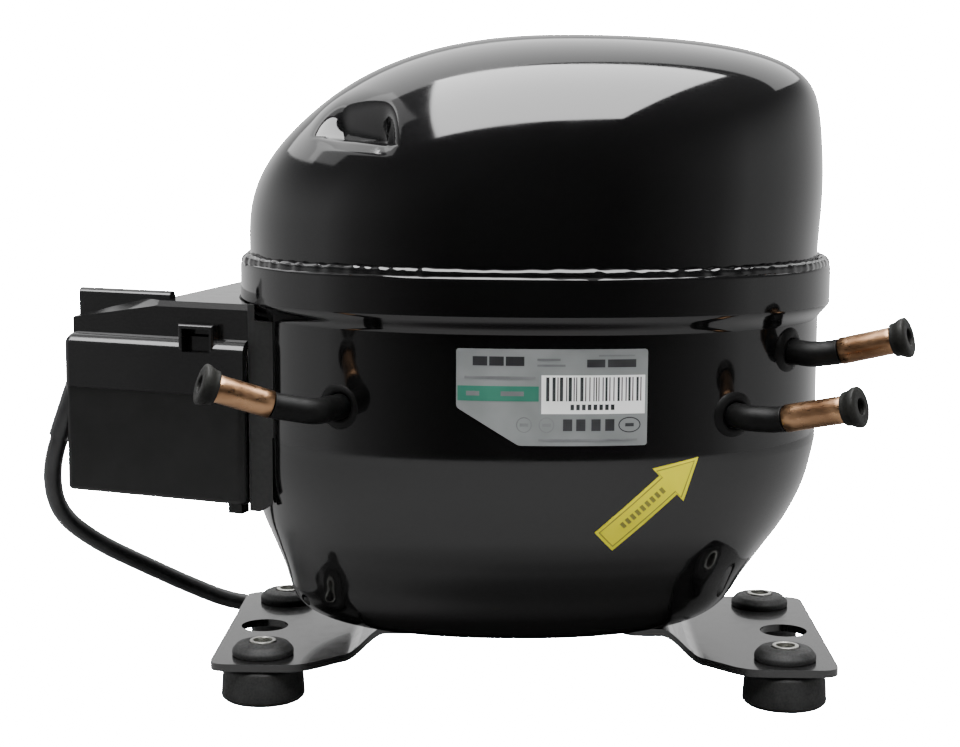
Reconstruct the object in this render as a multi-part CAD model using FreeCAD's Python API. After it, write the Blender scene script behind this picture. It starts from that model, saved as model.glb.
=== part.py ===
import FreeCAD, Part
import math
import os

# Hermetic reciprocating compressor: welded oval shell on four rubber grommets, with a
# spring-hung motor and slide-tube pump inside and a terminal box on its left end.
# Millimetres. Origin: centre of the four foot bolts, on the floor. +Z up, +X to the tube end.

V = FreeCAD.Vector
X, Y, Z = V(1, 0, 0), V(0, 1, 0), V(0, 0, 1)

# Driving dimensions: shell
SHELL_X = 2.8            # centre of the oval along X
WALL_A, WALL_B = 94.1, 69.6
LIP_A, LIP_B = 97.8, 73.1
PLAN_POWER = 2.2         # superellipse power of the plan
SHEET_STEEL = 3.0
BOTTOM_Z, BOWL_Z = 23.3, 84.0
STEP_Z0, STEP_Z1, SEAM_Z = 124.5, 128.5, 141.5
SKIRT_Z, TOP_Z = 129.0, 215.4
APEX_X, DOME_LEFT, DOME_RIGHT = 12.0, -91.9, 96.2
BOWL = [(23.3, 60.0), (24.3, 66.0), (26.8, 70.8), (30.8, 74.2), (39.0, 78.0), (48.0, 83.0),
        (58.0, 88.4), (70.0, 92.4), (84.0, WALL_A)]
DIMPLE = V(-50.0, -47.0, 188.0)

# Driving dimensions: feet
FOOT_X, FOOT_Y = 85.0, 35.0
FOOT_HOLE_R, SPARE_HOLE_X = 8.0, 89.0
PLATE_T, PLATE_TOP, TAB_TOP = 2.5, 14.5, 23.8
SLEEVE_R, SLEEVE_BORE, SLEEVE_TOP = 4.3, 3.1, 19.2

# Driving dimensions: motor and pump
CRANK_X, THROW, CRANK_REST, PIN_R = -8.0, 10.35, 120.0, 6.0
CYL_Z, BORE_R, PISTON_R = 158.0, 13.03, 13.0
CROWN = 44.0             # from the slide tube's centre to the piston crown
STACK_Z0, STACK_Z1, STACK_HALF, STACK_CHAMFER = 66.0, 112.0, 50.0, 14.0
STATOR_BORE, ROTOR_R, SHAFT_R = 28.1, 27.7, 9.0
SLOTS, SLOT_IN, SLOT_OUT = 16, 29.8, 42.0
BOLT_XY = 40.0
SPRING_X, SPRING_Y, SPRING_R, SPRING_WIRE = 38.0, 32.0, 7.0, 0.9
SPRING_Z0, SPRING_Z1, SPRING_TURNS = 33.0, 60.0, 5.5
HEAD_BOLT = 16.0

# Driving dimensions: terminal box, in its own frame (u along the front, w to the rear)
BOX_CORNER, BOX_TURN = V(-153.0, -10.0, 0), -21.6
BOX_LEFT, BOX_RIGHT, BOX_W, BOX_WALL = -1.6, 67.4, 60.0, 2.0
BOX_Z0, BOX_SEAM, BOX_SHOULDER, BOX_TOP = 63.4, 98.7, 117.0, 128.8
LATCH_U0, LATCH_U1 = 44.9, 55.1
TERMINAL_W, TERMINAL_Z, PLATE_GAP = 38.0, 96.0, 0.1

# Driving dimensions: tube ends and supply lead
TUBE_R, TUBE_BORE = 4.0, 3.1
LEAD_R = 3.1
LEAD_ROUTE = [V(-150.2, -5.5, 98.5), V(-156.0, -5.0, 85.0), V(-161.8, -1.0, 68.0),
              V(-161.3, 7.5, 51.5), V(-150.8, 19.5, 38.8), V(-137.2, 31.0, 28.6),
              V(-122.4, 43.0, 17.8), V(-108.0, 55.5, 8.2), V(-91.5, 67.5, 4.0),
              V(-72.0, 78.5, 3.4), V(-51.0, 84.0, 3.4), V(-30.5, 85.2, 3.6), V(-14.0, 86.0, 3.8)]
COIL_AT, COIL_MEAN_R, COIL_TURN = V(-14.0, 120.0, 0), 34.0, 6.3


def save(name, shape):
    shape.exportStep("parts/" + name + ".step")


def box(x0, x1, y0, y1, z0, z1):
    return Part.makeBox(x1 - x0, y1 - y0, z1 - z0, V(x0, y0, z0))


def rod(r, base, tip):
    return Part.makeCylinder(r, (tip - base).Length, base, tip - base)


def ring(outer, inner, base, tip):
    return rod(outer, base, tip).cut(rod(inner, base, tip))


def group(solids):
    return Part.makeCompound(solids)


def fuse(solids):
    return solids[0].multiFuse(solids[1:]) if len(solids) > 1 else solids[0]


def power(value, exponent):
    return math.copysign(abs(value) ** exponent, value)


def oval(z, centre, a, b, count=32):
    """Closed superellipse outline at height z."""
    points = []
    for i in range(count):
        t = 2 * math.pi * i / count
        points.append(V(centre + a * power(math.cos(t), 2 / PLAN_POWER),
                        b * power(math.sin(t), 2 / PLAN_POWER), z))
    curve = Part.BSplineCurve()
    curve.interpolate(Points=points, PeriodicFlag=True)
    return Part.Wire([curve.toShape()])


def oval_prism(a, b, z0, z1):
    return Part.Face(oval(z0, SHELL_X, a, b)).extrude(V(0, 0, z1 - z0))


def oval_y(x, a=WALL_A, b=WALL_B):
    """Half depth of the oval at x."""
    return b * (1 - abs((x - SHELL_X) / a) ** PLAN_POWER) ** (1 / PLAN_POWER)


def dome_section(z):
    """Left reach, right reach and half depth of the upper shell at height z."""
    def reach(base, rise, draw):
        up = min(1.0, max(0.0, (z - base) / (TOP_Z - base)))
        return (1 - up ** rise) ** (1 / draw)
    swell = max(0.0, 1 - ((z - 168.0) / 26.0) ** 2) ** 2
    left = APEX_X - (APEX_X - DOME_LEFT) * reach(141.3, 2.12, 2.3) - 2.0 * swell
    right = APEX_X + (DOME_RIGHT - APEX_X) * reach(171.3, 5.3, 2.36) + 1.2 * swell
    return left, right, (WALL_B - 0.05) * reach(150.0, 2.8, 2.8)


def dome(inset, bottom):
    """Upper shell as a closed solid, drawn in by inset all round."""
    heights = [bottom, 136, 142, 147, 152, 158, 164, 170, 176, 182, 188, 194, 199.5, 204.5,
               208.5, 211.5, 213.7, 214.9, 215.34]
    wires = []
    for z in heights:
        left, right, b = dome_section(z)
        low = z if z <= 147 else 147 + (z - 147) * (TOP_Z - 147 - inset) / (TOP_Z - 147)
        wires.append(oval(low, (left + right) / 2, (right - left) / 2 - inset, b - inset))
    return Part.makeLoft(wires, True, False)


def lower_solid(inset, lip_inset, top):
    """Lower shell as a closed solid, drawn in by inset all round."""
    depth = BOWL_Z - BOTTOM_Z
    ratio = WALL_B / WALL_A
    wires = []
    for z, a in BOWL:
        low = BOWL_Z - (BOWL_Z - z) * (depth - inset) / depth
        centre = SHELL_X - 8.6 * (1 - (z - BOTTOM_Z) / depth) ** 1.15
        wires.append(oval(low, centre, a - inset, a * ratio - inset))
    bowl = Part.makeLoft(wires, True, False)
    wall = oval_prism(WALL_A - inset, WALL_B - inset, BOWL_Z, STEP_Z0)
    step = Part.makeLoft([oval(STEP_Z0, SHELL_X, WALL_A - inset, WALL_B - inset),
                          oval(STEP_Z1, SHELL_X, LIP_A - lip_inset, LIP_B - lip_inset)], True, True)
    lip = oval_prism(LIP_A - lip_inset, LIP_B - lip_inset, STEP_Z1, top)
    return fuse([bowl, wall, step, lip])


def path(points, radii):
    """Straight runs joined by tangent arcs."""
    edges = []
    start = points[0]
    for i, r in enumerate(radii):
        corner = points[i + 1]
        back = (points[i] - corner).normalize()
        ahead = (points[i + 2] - corner).normalize()
        half = back.getAngle(ahead) / 2
        trim = r / math.tan(half)
        a, b = corner + back * trim, corner + ahead * trim
        centre = corner + (back + ahead).normalize() * (r / math.sin(half))
        middle = centre + (corner - centre).normalize() * r
        edges.append(Part.LineSegment(start, a).toShape())
        edges.append(Part.Arc(a, middle, b).toShape())
        start = b
    edges.append(Part.LineSegment(start, points[-1]).toShape())
    return Part.Wire(edges)


def largest_radii(points, share=0.45):
    """Arc radius at each inner point, as large as its two runs allow."""
    radii = []
    for i in range(1, len(points) - 1):
        back, ahead = points[i - 1] - points[i], points[i + 1] - points[i]
        half_turn = (math.pi - back.getAngle(ahead)) / 2
        radii.append(share * min(back.Length, ahead.Length) / math.tan(half_turn))
    return radii


def sweep(wire, radius):
    first = wire.OrderedEdges[0]
    start = first.valueAt(first.FirstParameter)
    aim = first.tangentAt(first.FirstParameter)
    circle = Part.Wire([Part.Circle(start, aim, radius).toShape()])
    return wire.makePipeShell([circle], True, True, 2)


def pipe(points, radii, outer, bore=0.0):
    wire = path(points, radii)
    solid = sweep(wire, outer)
    return solid.cut(sweep(wire, bore)) if bore else solid


def revolve(profile):
    """Turned solid about Z from (radius, height) points."""
    wire = Part.makePolygon([V(r, 0, z) for r, z in profile + profile[:1]])
    return Part.Face(wire).revolve(V(0, 0, 0), Z, 360)


def moved(shape, place):
    copy = shape.copy()
    copy.translate(place)
    return copy


def quarters(shape, x, y):
    return group([moved(shape, V(sx * x, sy * y, 0)) for sx in (-1, 1) for sy in (-1, 1)])


def to_box(shape):
    """Place a shape drawn in the terminal box's frame."""
    placed = shape.copy()
    placed.rotate(V(0, 0, 0), Z, BOX_TURN)
    placed.translate(BOX_CORNER)
    return placed


def box_point(u, w, z):
    turn = math.radians(BOX_TURN)
    return BOX_CORNER + V(u * math.cos(turn) - w * math.sin(turn),
                          u * math.sin(turn) + w * math.cos(turn), z)


# ---------------------------------------------------------------- tube ends

# Each tube: points from inside the shell to its open end, arc radii, where copper starts
TUBES = {
    "process": ([V(-54.0, -48.5, 99.4), V(-63.5, -70.5, 100.0), V(-75.2, -73.7, 102.3),
                 V(-93.3, -80.2, 108.8)], [7.0, 14.0]),
    "suction": ([V(58.5, -45.5, 98.0), V(67.5, -60.5, 97.6), V(76.5, -62.9, 97.4),
                 V(96.6, -75.5, 103.1)], [7.0, 16.0]),
    "discharge": ([V(76.0, -34.5, 116.4), V(89.5, -44.6, 115.4), V(96.0, -45.6, 116.1),
                   V(114.2, -54.5, 121.5)], [7.0, 14.0]),
}


def tube_parts(name):
    points, radii = TUBES[name]
    aim = (points[3] - points[2]).normalize()
    joint = points[2] + aim * (radii[1] * math.tan(aim.getAngle(points[2] - points[1]) / 2) + 0.2)
    stub = pipe(points[:3] + [joint], radii, TUBE_R, TUBE_BORE)
    copper = ring(TUBE_R + 0.25, TUBE_BORE, joint, points[3])
    return stub, copper, points[3], aim


def transit_plug(end, aim):
    head = rod(6.3, end, end + aim * 3.8)
    lip = ring(5.2, TUBE_R + 0.55, end - aim * 1.4, end)
    stem = rod(TUBE_BORE - 0.3, end - aim * 9.0, end)
    recess = rod(2.6, end + aim * 1.2, end + aim * 3.8)
    return fuse([moved(head, aim * 0.1), moved(stem, aim * 0.1), moved(lip, aim * 0.1)]).cut(
        moved(recess, aim * 0.2))


def tube_collar(points):
    """Raised ring pressed round a tube where it enters the shell."""
    aim = (points[1] - points[0]).normalize()
    reach = 0.0
    while abs((points[0] + aim * reach).y) < oval_y((points[0] + aim * reach).x):
        reach += 0.1
    at = points[0] + aim * reach
    return ring(8.2, TUBE_R + 0.05, at - aim * 2.6, at + aim * 1.3)


# ---------------------------------------------------------------- shell and feet

def make_shells():
    upper_outer = dome(0, SKIRT_Z)
    upper_inner = dome(SHEET_STEEL, SKIRT_Z)
    pocket = Part.makeSphere(1.0)
    def pocket_at(rx, ry, rz):
        m = FreeCAD.Matrix()
        m.scale(V(rx, ry, rz))
        shape = pocket.transformGeometry(m)
        shape.rotate(V(0, 0, 0), Y, 20)
        shape.translate(DIMPLE)
        return shape
    cup = pocket_at(17.0 + SHEET_STEEL, 15.0 + SHEET_STEEL, 11.5 + SHEET_STEEL)
    upper = upper_outer.cut(upper_inner).fuse(cup.common(upper_outer))
    upper = upper.cut(pocket_at(17.0, 15.0, 11.5))
    save("upper_shell", upper)

    lower_outer = lower_solid(0, 0, SEAM_Z)
    lower_inner = lower_solid(SHEET_STEEL, SHEET_STEEL, SEAM_Z + 1)
    lower = lower_outer.cut(lower_inner)
    for points, radii in TUBES.values():
        lower = lower.cut(rod(TUBE_R + 0.05, points[0], points[1]))
    axis0, axis1 = box_point(30, TERMINAL_W, TERMINAL_Z), box_point(90, TERMINAL_W, TERMINAL_Z)
    lower = lower.cut(rod(16.1, axis0, axis1))
    save("lower_shell", lower)

    bead_outer = Part.makeLoft([oval(SEAM_Z, SHELL_X, LIP_A - 0.3, LIP_B - 0.3),
                                oval(SEAM_Z + 1.8, SHELL_X, LIP_A - 0.8, LIP_B - 0.8),
                                oval(SEAM_Z + 3.2, SHELL_X, WALL_A + 0.6, WALL_B + 0.6)], True, True)
    save("weld_bead", bead_outer.cut(upper_outer))
    collars = [tube_collar(points).cut(lower_outer) for points, radii in TUBES.values()]
    save("tube_collars", group(collars))
    return lower_outer, lower_inner


def make_feet(lower_outer):
    """Two pressed brackets that carry the shell, with grommets and sleeves."""
    half = [V(101, -48, 0), V(101, 47, 0), V(71, 47, 0), V(56, 32.5, 0), V(32, 32, 0),
            V(32, -32, 0), V(56, -32.5, 0), V(71, -48, 0)]
    plan = Part.Face(Part.makePolygon(half + half[:1])).extrude(V(0, 0, 40))
    upright = [e for e in plan.Edges if abs(e.tangentAt(e.FirstParameter).z) > 0.9]
    plan = plan.makeFillet(6.0, upright)
    low, t = PLATE_TOP - PLATE_T, PLATE_T
    strip = [V(105, 0, low), V(57.5, 0, low), V(47.5, 0, TAB_TOP - t), V(30, 0, TAB_TOP - t),
             V(30, 0, TAB_TOP), V(46.5, 0, TAB_TOP), V(57.0, 0, PLATE_TOP), V(105, 0, PLATE_TOP)]
    profile = moved(Part.Face(Part.makePolygon(strip + strip[:1])), V(0, -60, 0))
    plate = profile.extrude(V(0, 120, 0)).common(plan)
    for x, y in ((FOOT_X, -FOOT_Y), (FOOT_X, FOOT_Y), (SPARE_HOLE_X, 0)):
        plate = plate.cut(rod(FOOT_HOLE_R, V(x, y, 0), V(x, y, 40)))
    plates = {"right_foot_bracket": plate, "left_foot_bracket": plate.mirror(V(0, 0, 0), X)}
    for name, shape in plates.items():
        save(name, shape.cut(lower_outer))

    neck, top, body = FOOT_HOLE_R - 0.2, 10.0, 13.7
    low = PLATE_TOP - PLATE_T
    grommet = revolve([(SLEEVE_R, 0), (body - 1.2, 0), (body, 1.2), (body - 0.6, low - 1.4),
                       (body - 2.0, low), (neck, low), (neck, PLATE_TOP), (top, PLATE_TOP),
                       (top, PLATE_TOP + 1.8), (top - 1.6, PLATE_TOP + 3.6),
                       (SLEEVE_R + 1.4, PLATE_TOP + 4.2), (SLEEVE_R, PLATE_TOP + 4.2)])
    save("rubber_grommets", quarters(grommet, FOOT_X, FOOT_Y))
    sleeve = ring(SLEEVE_R - 0.02, SLEEVE_BORE, V(0, 0, 0), V(0, 0, SLEEVE_TOP))
    save("grommet_sleeves", quarters(sleeve, FOOT_X, FOOT_Y))


def make_tubes():
    stubs, ends = [], []
    for name in TUBES:
        stub, copper, end, aim = tube_parts(name)
        stubs.append(stub)
        ends.append(copper)
        save(name + "_plug", transit_plug(end, aim))
        print(name, "plug axis", [round(v, 5) for v in aim], "end", [round(v, 2) for v in end])
    save("steel_stubs", group(stubs))
    save("copper_tubes", group(ends))


def surface_patch(outline, y_reach, skin):
    """Thin sticker on the shell's front wall over an XZ outline."""
    face = Part.Face(Part.makePolygon(outline + outline[:1]))
    block = moved(face, V(0, -y_reach, 0)).extrude(V(0, 40, 0))
    shell = oval_prism(WALL_A + skin, WALL_B + skin, 50, STEP_Z0).cut(
        oval_prism(WALL_A + 0.02, WALL_B + 0.02, 50, STEP_Z0))
    return block.common(shell)


def make_stickers():
    rating = [V(-21.0, 0, 119.5), V(37.0, 0, 119.5), V(37.0, 0, 90.0), V(-2.0, 0, 90.0),
              V(-21.0, 0, 101.5)]
    save("rating_label", surface_patch(rating, WALL_B + 5, 0.25))
    tail, tip = V(24.3, 0, 59.3), V(53.2, 0, 85.5)
    along = (tip - tail).normalize()
    side = V(-along.z, 0, along.x)
    length = (tip - tail).Length
    neck = tail + along * (length - 12.5)
    arrow = [tail + side * 4.2, neck + side * 4.2, neck + side * 7.4, tip, neck - side * 7.4,
             neck - side * 4.2, tail - side * 4.2]
    save("arrow_label", surface_patch(arrow, WALL_B + 5, 0.25))


# ---------------------------------------------------------------- terminal box

def slab(outline, low, high):
    """Prism over a (length, height) outline, from one depth in the box to another."""
    points = [V(x, low, z) for x, z in outline]
    return Part.Face(Part.makePolygon(points + points[:1])).extrude(V(0, high - low, 0))


def make_lid(lead_hole):
    left, right, w, t = BOX_LEFT, BOX_RIGHT, BOX_W, BOX_WALL
    low = box(left + 0.3, right, -0.6, w + 0.6, BOX_SEAM + 0.15, BOX_SHOULDER)
    low = low.makeFillet(2.4, [e for e in low.Edges if e.Length < 20 and e.BoundBox.XMax < 0])
    edge = [e for e in low.Edges if e.BoundBox.YMax < 0 and e.BoundBox.ZMin > BOX_SHOULDER - 0.1]
    low = low.makeFillet(4.0, edge)
    side = [V(right, 3, 116), V(right, w + 0.6, 116), V(right, w + 0.6, 130.4), V(right, 4.6, 128.5),
            V(right, 3, 126.7), V(right, 3, 116)]
    high = Part.Face(Part.makePolygon(side)).extrude(V(0.7 - right, 0, 0))
    front = [V(-6, 2.8, 120.7), V(34.5, 2.8, 126.9), V(38, 2.8, 129), V(38, 2.8, 140), V(-6, 2.8, 140)]
    rear = [V(-6, 7.2, 120.7), V(29, 7.2, 129.1), V(33, 7.2, 131), V(33, 7.2, 140), V(-6, 7.2, 140)]
    ramp = Part.makeLoft([Part.makePolygon(front + front[:1]), Part.makePolygon(rear + rear[:1])], True, True)
    rail = box(0.7, 36, 7, 10.6, 118, 131.3)
    rail = rail.makeFillet(1.7, [e for e in rail.Edges if e.Length > 30 and e.BoundBox.ZMin > 131])
    shelf = box(-6, 33, 10.6, w + 5, 120.5, 140)
    lid = low.fuse(high.cut(ramp).cut(box(-6, 33, 7.1, w + 5, 120.5, 140))).fuse(rail).cut(shelf)
    frame = box(LATCH_U0 - 1.4, LATCH_U1 + 1.4, -0.6, 3.4, 113, 121.6)
    lid = lid.fuse(frame.makeFillet(0.6, [e for e in frame.Edges if e.BoundBox.YMax < -0.5]))
    lid = lid.cut(box(left + t, right + 5, t, w - t, BOX_SEAM - 1, 114.5))
    lid = lid.cut(box(39.5, right + 5, 6, w - t, 114, 125.8)).cut(box(4, 30, 13, w - t, 114, 118.5))
    lid = lid.cut(box(LATCH_U0, LATCH_U1, -2, 7.2, 112.6, 118.2))
    lid = lid.cut(box(LATCH_U0, LATCH_U1, -2, 3.6, 112.6, 120.2))
    clear = oval_prism(LIP_A + 0.6, LIP_B + 0.6, 50, BOX_TOP + 4)
    save("terminal_lid", to_box(lid).cut(clear).cut(lead_hole))


def make_terminal_box():
    left, right, w, t = BOX_LEFT, BOX_RIGHT, BOX_W, BOX_WALL
    housing = box(left, right, 0, w, BOX_Z0, BOX_SEAM)
    upright = [e for e in housing.Edges if abs(e.tangentAt(e.FirstParameter).z) > 0.9]
    housing = housing.makeFillet(2.6, upright[:4])
    bottom = [e for e in housing.Edges if e.BoundBox.ZMax < BOX_Z0 + 0.01]
    housing = housing.makeFillet(1.5, bottom)
    inside = box(left + t, right + 5, t, w - t, BOX_Z0 + t, BOX_SEAM + 5)
    lug = box(right - 8, right - 3, 3, 8, BOX_Z0 - 3.5, BOX_Z0 + 1)
    aim = (LEAD_ROUTE[1] - LEAD_ROUTE[0]).normalize()
    lead_hole = rod(LEAD_R + 1.45, LEAD_ROUTE[0] - aim * 14, LEAD_ROUTE[0] + aim * 20)
    backing = oval_prism(WALL_A + PLATE_GAP + 1.6, WALL_B + PLATE_GAP + 1.6, 50, BOX_TOP)
    housing = to_box(fuse([housing.cut(inside), lug])).cut(lead_hole)
    save("terminal_housing", housing.cut(backing))
    make_lid(lead_hole)
    save("lid_latch", to_box(box(LATCH_U0 + 0.7, LATCH_U1 - 0.7, 2.6, 4.2, 93.0, 117.5)))

    axis = box_point(1, 0, 0) - box_point(0, 0, 0)

    def on_shell(across, height):
        """Point where a line along the box's length meets the shell."""
        start = box_point(0, across, height)
        reach = 0.0
        while abs((start + axis * reach).y) > 1.0 + oval_y(max((start + axis * reach).x, SHELL_X - WALL_A)):
            reach += 0.1
        while (start + axis * reach).x < SHELL_X - WALL_A * 0.99:
            reach += 0.1
        return start + axis * reach
    seat = on_shell(TERMINAL_W, TERMINAL_Z)
    shell_space = fuse([oval_prism(WALL_A + 0.35, WALL_B + 0.35, 50, BOWL_Z + 2),
                        oval_prism(WALL_A + PLATE_GAP, WALL_B + PLATE_GAP, 50, STEP_Z0),
                        oval_prism(LIP_A + 0.2, LIP_B + 0.2, STEP_Z0 - 1, BOX_TOP + 1)])
    hug = oval_prism(WALL_A + PLATE_GAP + 1.5, WALL_B + PLATE_GAP + 1.5, BOX_Z0 + 2.2, 122.0)
    hug = hug.cut(shell_space).common(to_box(box(20, 120, 2.5, w - 2.5, 50, 140)))
    hug = hug.cut(rod(17.4, seat - axis * 20, seat + axis * 20))
    fence = box(right + 0.3, right + 25, 2.5, 4.7, BOX_Z0 - 2, BOX_TOP)
    lower_edge = [(right, 50), (right + 30, 50), (right + 30, 78), (right + 4, BOX_Z0 - 2),
                  (right, BOX_Z0 - 2)]
    fence = to_box(fence.cut(slab(lower_edge, 0, 20))).cut(shell_space)
    save("terminal_bracket", fence.fuse(hug))
    cup = ring(16.0, 14.6, seat - axis * 3, seat + axis * 7).fuse(rod(16.0, seat + axis * 5.6,
                                                                      seat + axis * 7))
    side = V(-axis.y, axis.x, 0)
    pin_at = [side * 6 + V(0, 0, 4), side * -6 + V(0, 0, 4), V(0, 0, -7)]
    for p in pin_at:
        cup = cup.cut(rod(2.6, seat + p - axis * 4, seat + p + axis * 8))
    save("hermetic_terminal", cup)
    save("terminal_glass", group([ring(2.55, 1.15, seat + p + axis * 4.6, seat + p + axis * 7.6)
                                  for p in pin_at]))
    save("terminal_pins", group([rod(1.13, seat + p - axis * 14, seat + p + axis * 16)
                                 for p in pin_at]))
    cluster = rod(11.0, seat + axis * 8.2, seat + axis * 17)
    for p in pin_at:
        cluster = cluster.cut(rod(1.2, seat + p + axis * 7, seat + p + axis * 18))
    save("cluster_block", cluster)

    relay = box(17, 38, TERMINAL_W - 14, TERMINAL_W + 16, 82, 112)
    relay = to_box(relay.makeFillet(1.5, relay.Edges))
    for p in pin_at:
        relay = relay.cut(rod(1.25, seat + p - axis * 15, seat + p))
    save("starter_relay", relay)
    protector = rod(9.8, V(16, 12.6, 88), V(32, 12.6, 88)).cut(rod(4, V(15, 12.6, 88), V(18, 12.6, 88)))
    save("overload_protector", to_box(protector))
    clamp = fuse([box(2.4, 9, 3, 13, 76, 78), box(2.4, 9, 3, 5, 77, 82)])
    save("cable_clamp", to_box(clamp))
    ground = on_shell(12.0, 84.0) - axis * (PLATE_GAP + 2.2)
    save("earth_screw", fuse([rod(3.2, ground - axis * 2.4, ground), rod(1.9, ground, ground + axis * 1.4)]))


# ---------------------------------------------------------------- supply lead

def make_lead():
    radii = largest_radii(LEAD_ROUTE)
    print("lead radii", [round(r, 1) for r in radii])
    wire = path(LEAD_ROUTE, radii)
    lead = sweep(wire, LEAD_R)
    print("lead volume over section times length",
          round(lead.Volume / (math.pi * LEAD_R ** 2 * wire.Length), 4), "length", round(wire.Length, 1))
    save("supply_lead", lead)
    outer, inner = COIL_MEAN_R + COIL_TURN, COIL_MEAN_R - COIL_TURN
    save("lead_coil", ring(outer, inner, COIL_AT, COIL_AT + V(0, 0, 2 * COIL_TURN)))
    body = box(outer - 0.2, outer + 28, -9, 9, 0, 13)
    body = body.makeFillet(1.6, [e for e in body.Edges if e.BoundBox.XMin > outer])
    body = body.cut(fuse([box(outer + 14, outer + 29, y - 2.0, y + 2.0, 4.5, 8.5)
                          for y in (-5.5, 0, 5.5)]))
    save("lead_connector", moved(body, COIL_AT))
    aim = (LEAD_ROUTE[1] - LEAD_ROUTE[0]).normalize()
    sleeve = Part.makeCone(LEAD_R + 1.4, LEAD_R + 0.5, 21, LEAD_ROUTE[0] - aim * 1.5, aim)
    save("lead_strain_relief", sleeve.cut(lead))


# ---------------------------------------------------------------- motor

def at_crank(shape):
    return moved(shape, V(CRANK_X, 0, 0))


def slot_cutter(opening, z0, z1):
    cutters = []
    for i in range(SLOTS):
        piece = box(SLOT_IN, SLOT_OUT, -2.6, 2.6, z0, z1)
        if opening:
            piece = piece.fuse(box(SLOT_IN - 4, SLOT_IN + 1, -0.9, 0.9, z0, z1))
        piece.rotate(V(0, 0, 0), Z, 360.0 * (i + 0.5) / SLOTS)
        cutters.append(piece)
    return cutters


def make_motor(lower_inner):
    h, c = STACK_HALF, STACK_CHAMFER
    corners = [V(h, -h + c, 0), V(h, h - c, 0), V(h - c, h, 0), V(-h + c, h, 0), V(-h, h - c, 0),
               V(-h, -h + c, 0), V(-h + c, -h, 0), V(h - c, -h, 0)]
    sheet = Part.Face(Part.makePolygon(corners + corners[:1]))
    core = moved(sheet, V(0, 0, STACK_Z0)).extrude(V(0, 0, STACK_Z1 - STACK_Z0))
    core = core.cut(rod(STATOR_BORE, V(0, 0, 0), V(0, 0, 200)))
    core = core.cut(fuse(slot_cutter(True, STACK_Z0 - 1, STACK_Z1 + 1)))
    bolt_hole = quarters(rod(2.8, V(0, 0, 50), V(0, 0, 130)), BOLT_XY, BOLT_XY)
    core = core.cut(bolt_hole)
    save("stator_core", at_crank(core))

    def overhang(z0, z1):
        inner, outer = SLOT_IN + 0.4, SLOT_OUT - 1.6
        return revolve([(inner, z0), (outer - 2, z0), (outer, z0 + 3), (outer, z1 - 3),
                        (outer - 2, z1), (inner, z1)])
    bars = []
    for i in range(SLOTS):
        bar = box(SLOT_IN + 0.4, SLOT_OUT - 2, -2.2, 2.2, STACK_Z0 - 2, STACK_Z1 + 2)
        bar.rotate(V(0, 0, 0), Z, 360.0 * (i + 0.5) / SLOTS)
        bars.append(bar)
    windings = fuse([overhang(STACK_Z0 - 16, STACK_Z0 - 1), overhang(STACK_Z1 + 1, STACK_Z1 + 14)] + bars)
    save("stator_windings", at_crank(windings))

    rotor = ring(ROTOR_R, SHAFT_R, V(0, 0, STACK_Z0), V(0, 0, STACK_Z1))
    save("rotor_core", at_crank(rotor))
    end_ring = [ring(26.5, 16.0, V(0, 0, z), V(0, 0, z + 6)) for z in (STACK_Z0 - 6, STACK_Z1)]
    save("rotor_end_rings", at_crank(group(end_ring)))

    bolt = fuse([rod(2.6, V(0, 0, STACK_Z0 - 3), V(0, 0, 140)),
                 rod(4.8, V(0, 0, STACK_Z0 - 4.5), V(0, 0, STACK_Z0))])
    save("stator_bolts", at_crank(quarters(bolt, BOLT_XY, BOLT_XY)))

    snubber = fuse([rod(9.0, V(0, 0, SPRING_Z1 + 0.9), V(0, 0, STACK_Z0)),
                    rod(5.6, V(0, 0, SPRING_Z1 - 8), V(0, 0, SPRING_Z1 + 1))])
    snubbers = quarters(snubber, SPRING_X, SPRING_Y)
    save("spring_guides", at_crank(snubbers).cut(at_crank(bolt_hole)).cut(
        at_crank(quarters(rod(5.0, V(0, 0, 50), V(0, 0, STACK_Z0)), BOLT_XY, BOLT_XY))))
    seat = fuse([rod(9.5, V(0, 0, 18), V(0, 0, SPRING_Z0 - 0.95)),
                 rod(5.6, V(0, 0, 20), V(0, 0, SPRING_Z0 + 7))])
    save("spring_seats", at_crank(quarters(seat, SPRING_X, SPRING_Y)).common(lower_inner))
    pitch = (SPRING_Z1 - SPRING_Z0) / SPRING_TURNS
    helix = Part.makeHelix(pitch, SPRING_Z1 - SPRING_Z0, SPRING_R)
    circle = Part.Wire([Part.Circle(V(SPRING_R, 0, 0), Y, SPRING_WIRE).toShape()])
    coil = moved(helix.makePipeShell([circle], True, True), V(0, 0, SPRING_Z0))
    save("suspension_springs", at_crank(quarters(coil, SPRING_X, SPRING_Y)))


# ---------------------------------------------------------------- pump

def crank_pin_centre(z=0.0):
    a = math.radians(CRANK_REST)
    return V(THROW * math.cos(a), THROW * math.sin(a), z)


YOKE_X = THROW * math.cos(math.radians(CRANK_REST))
BLOCK_X0, BLOCK_X1 = 25.5, 54.4
PLATE_X0, PLATE_X1 = 54.9, 58.4
HEAD_X0, HEAD_X1 = 59.0, 73.0
DECK_Z0, DECK_Z1 = 128.0, 136.0
BEARING_TOP, WEB_Z0, WEB_Z1 = 137.4, 138.4, 144.5


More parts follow.
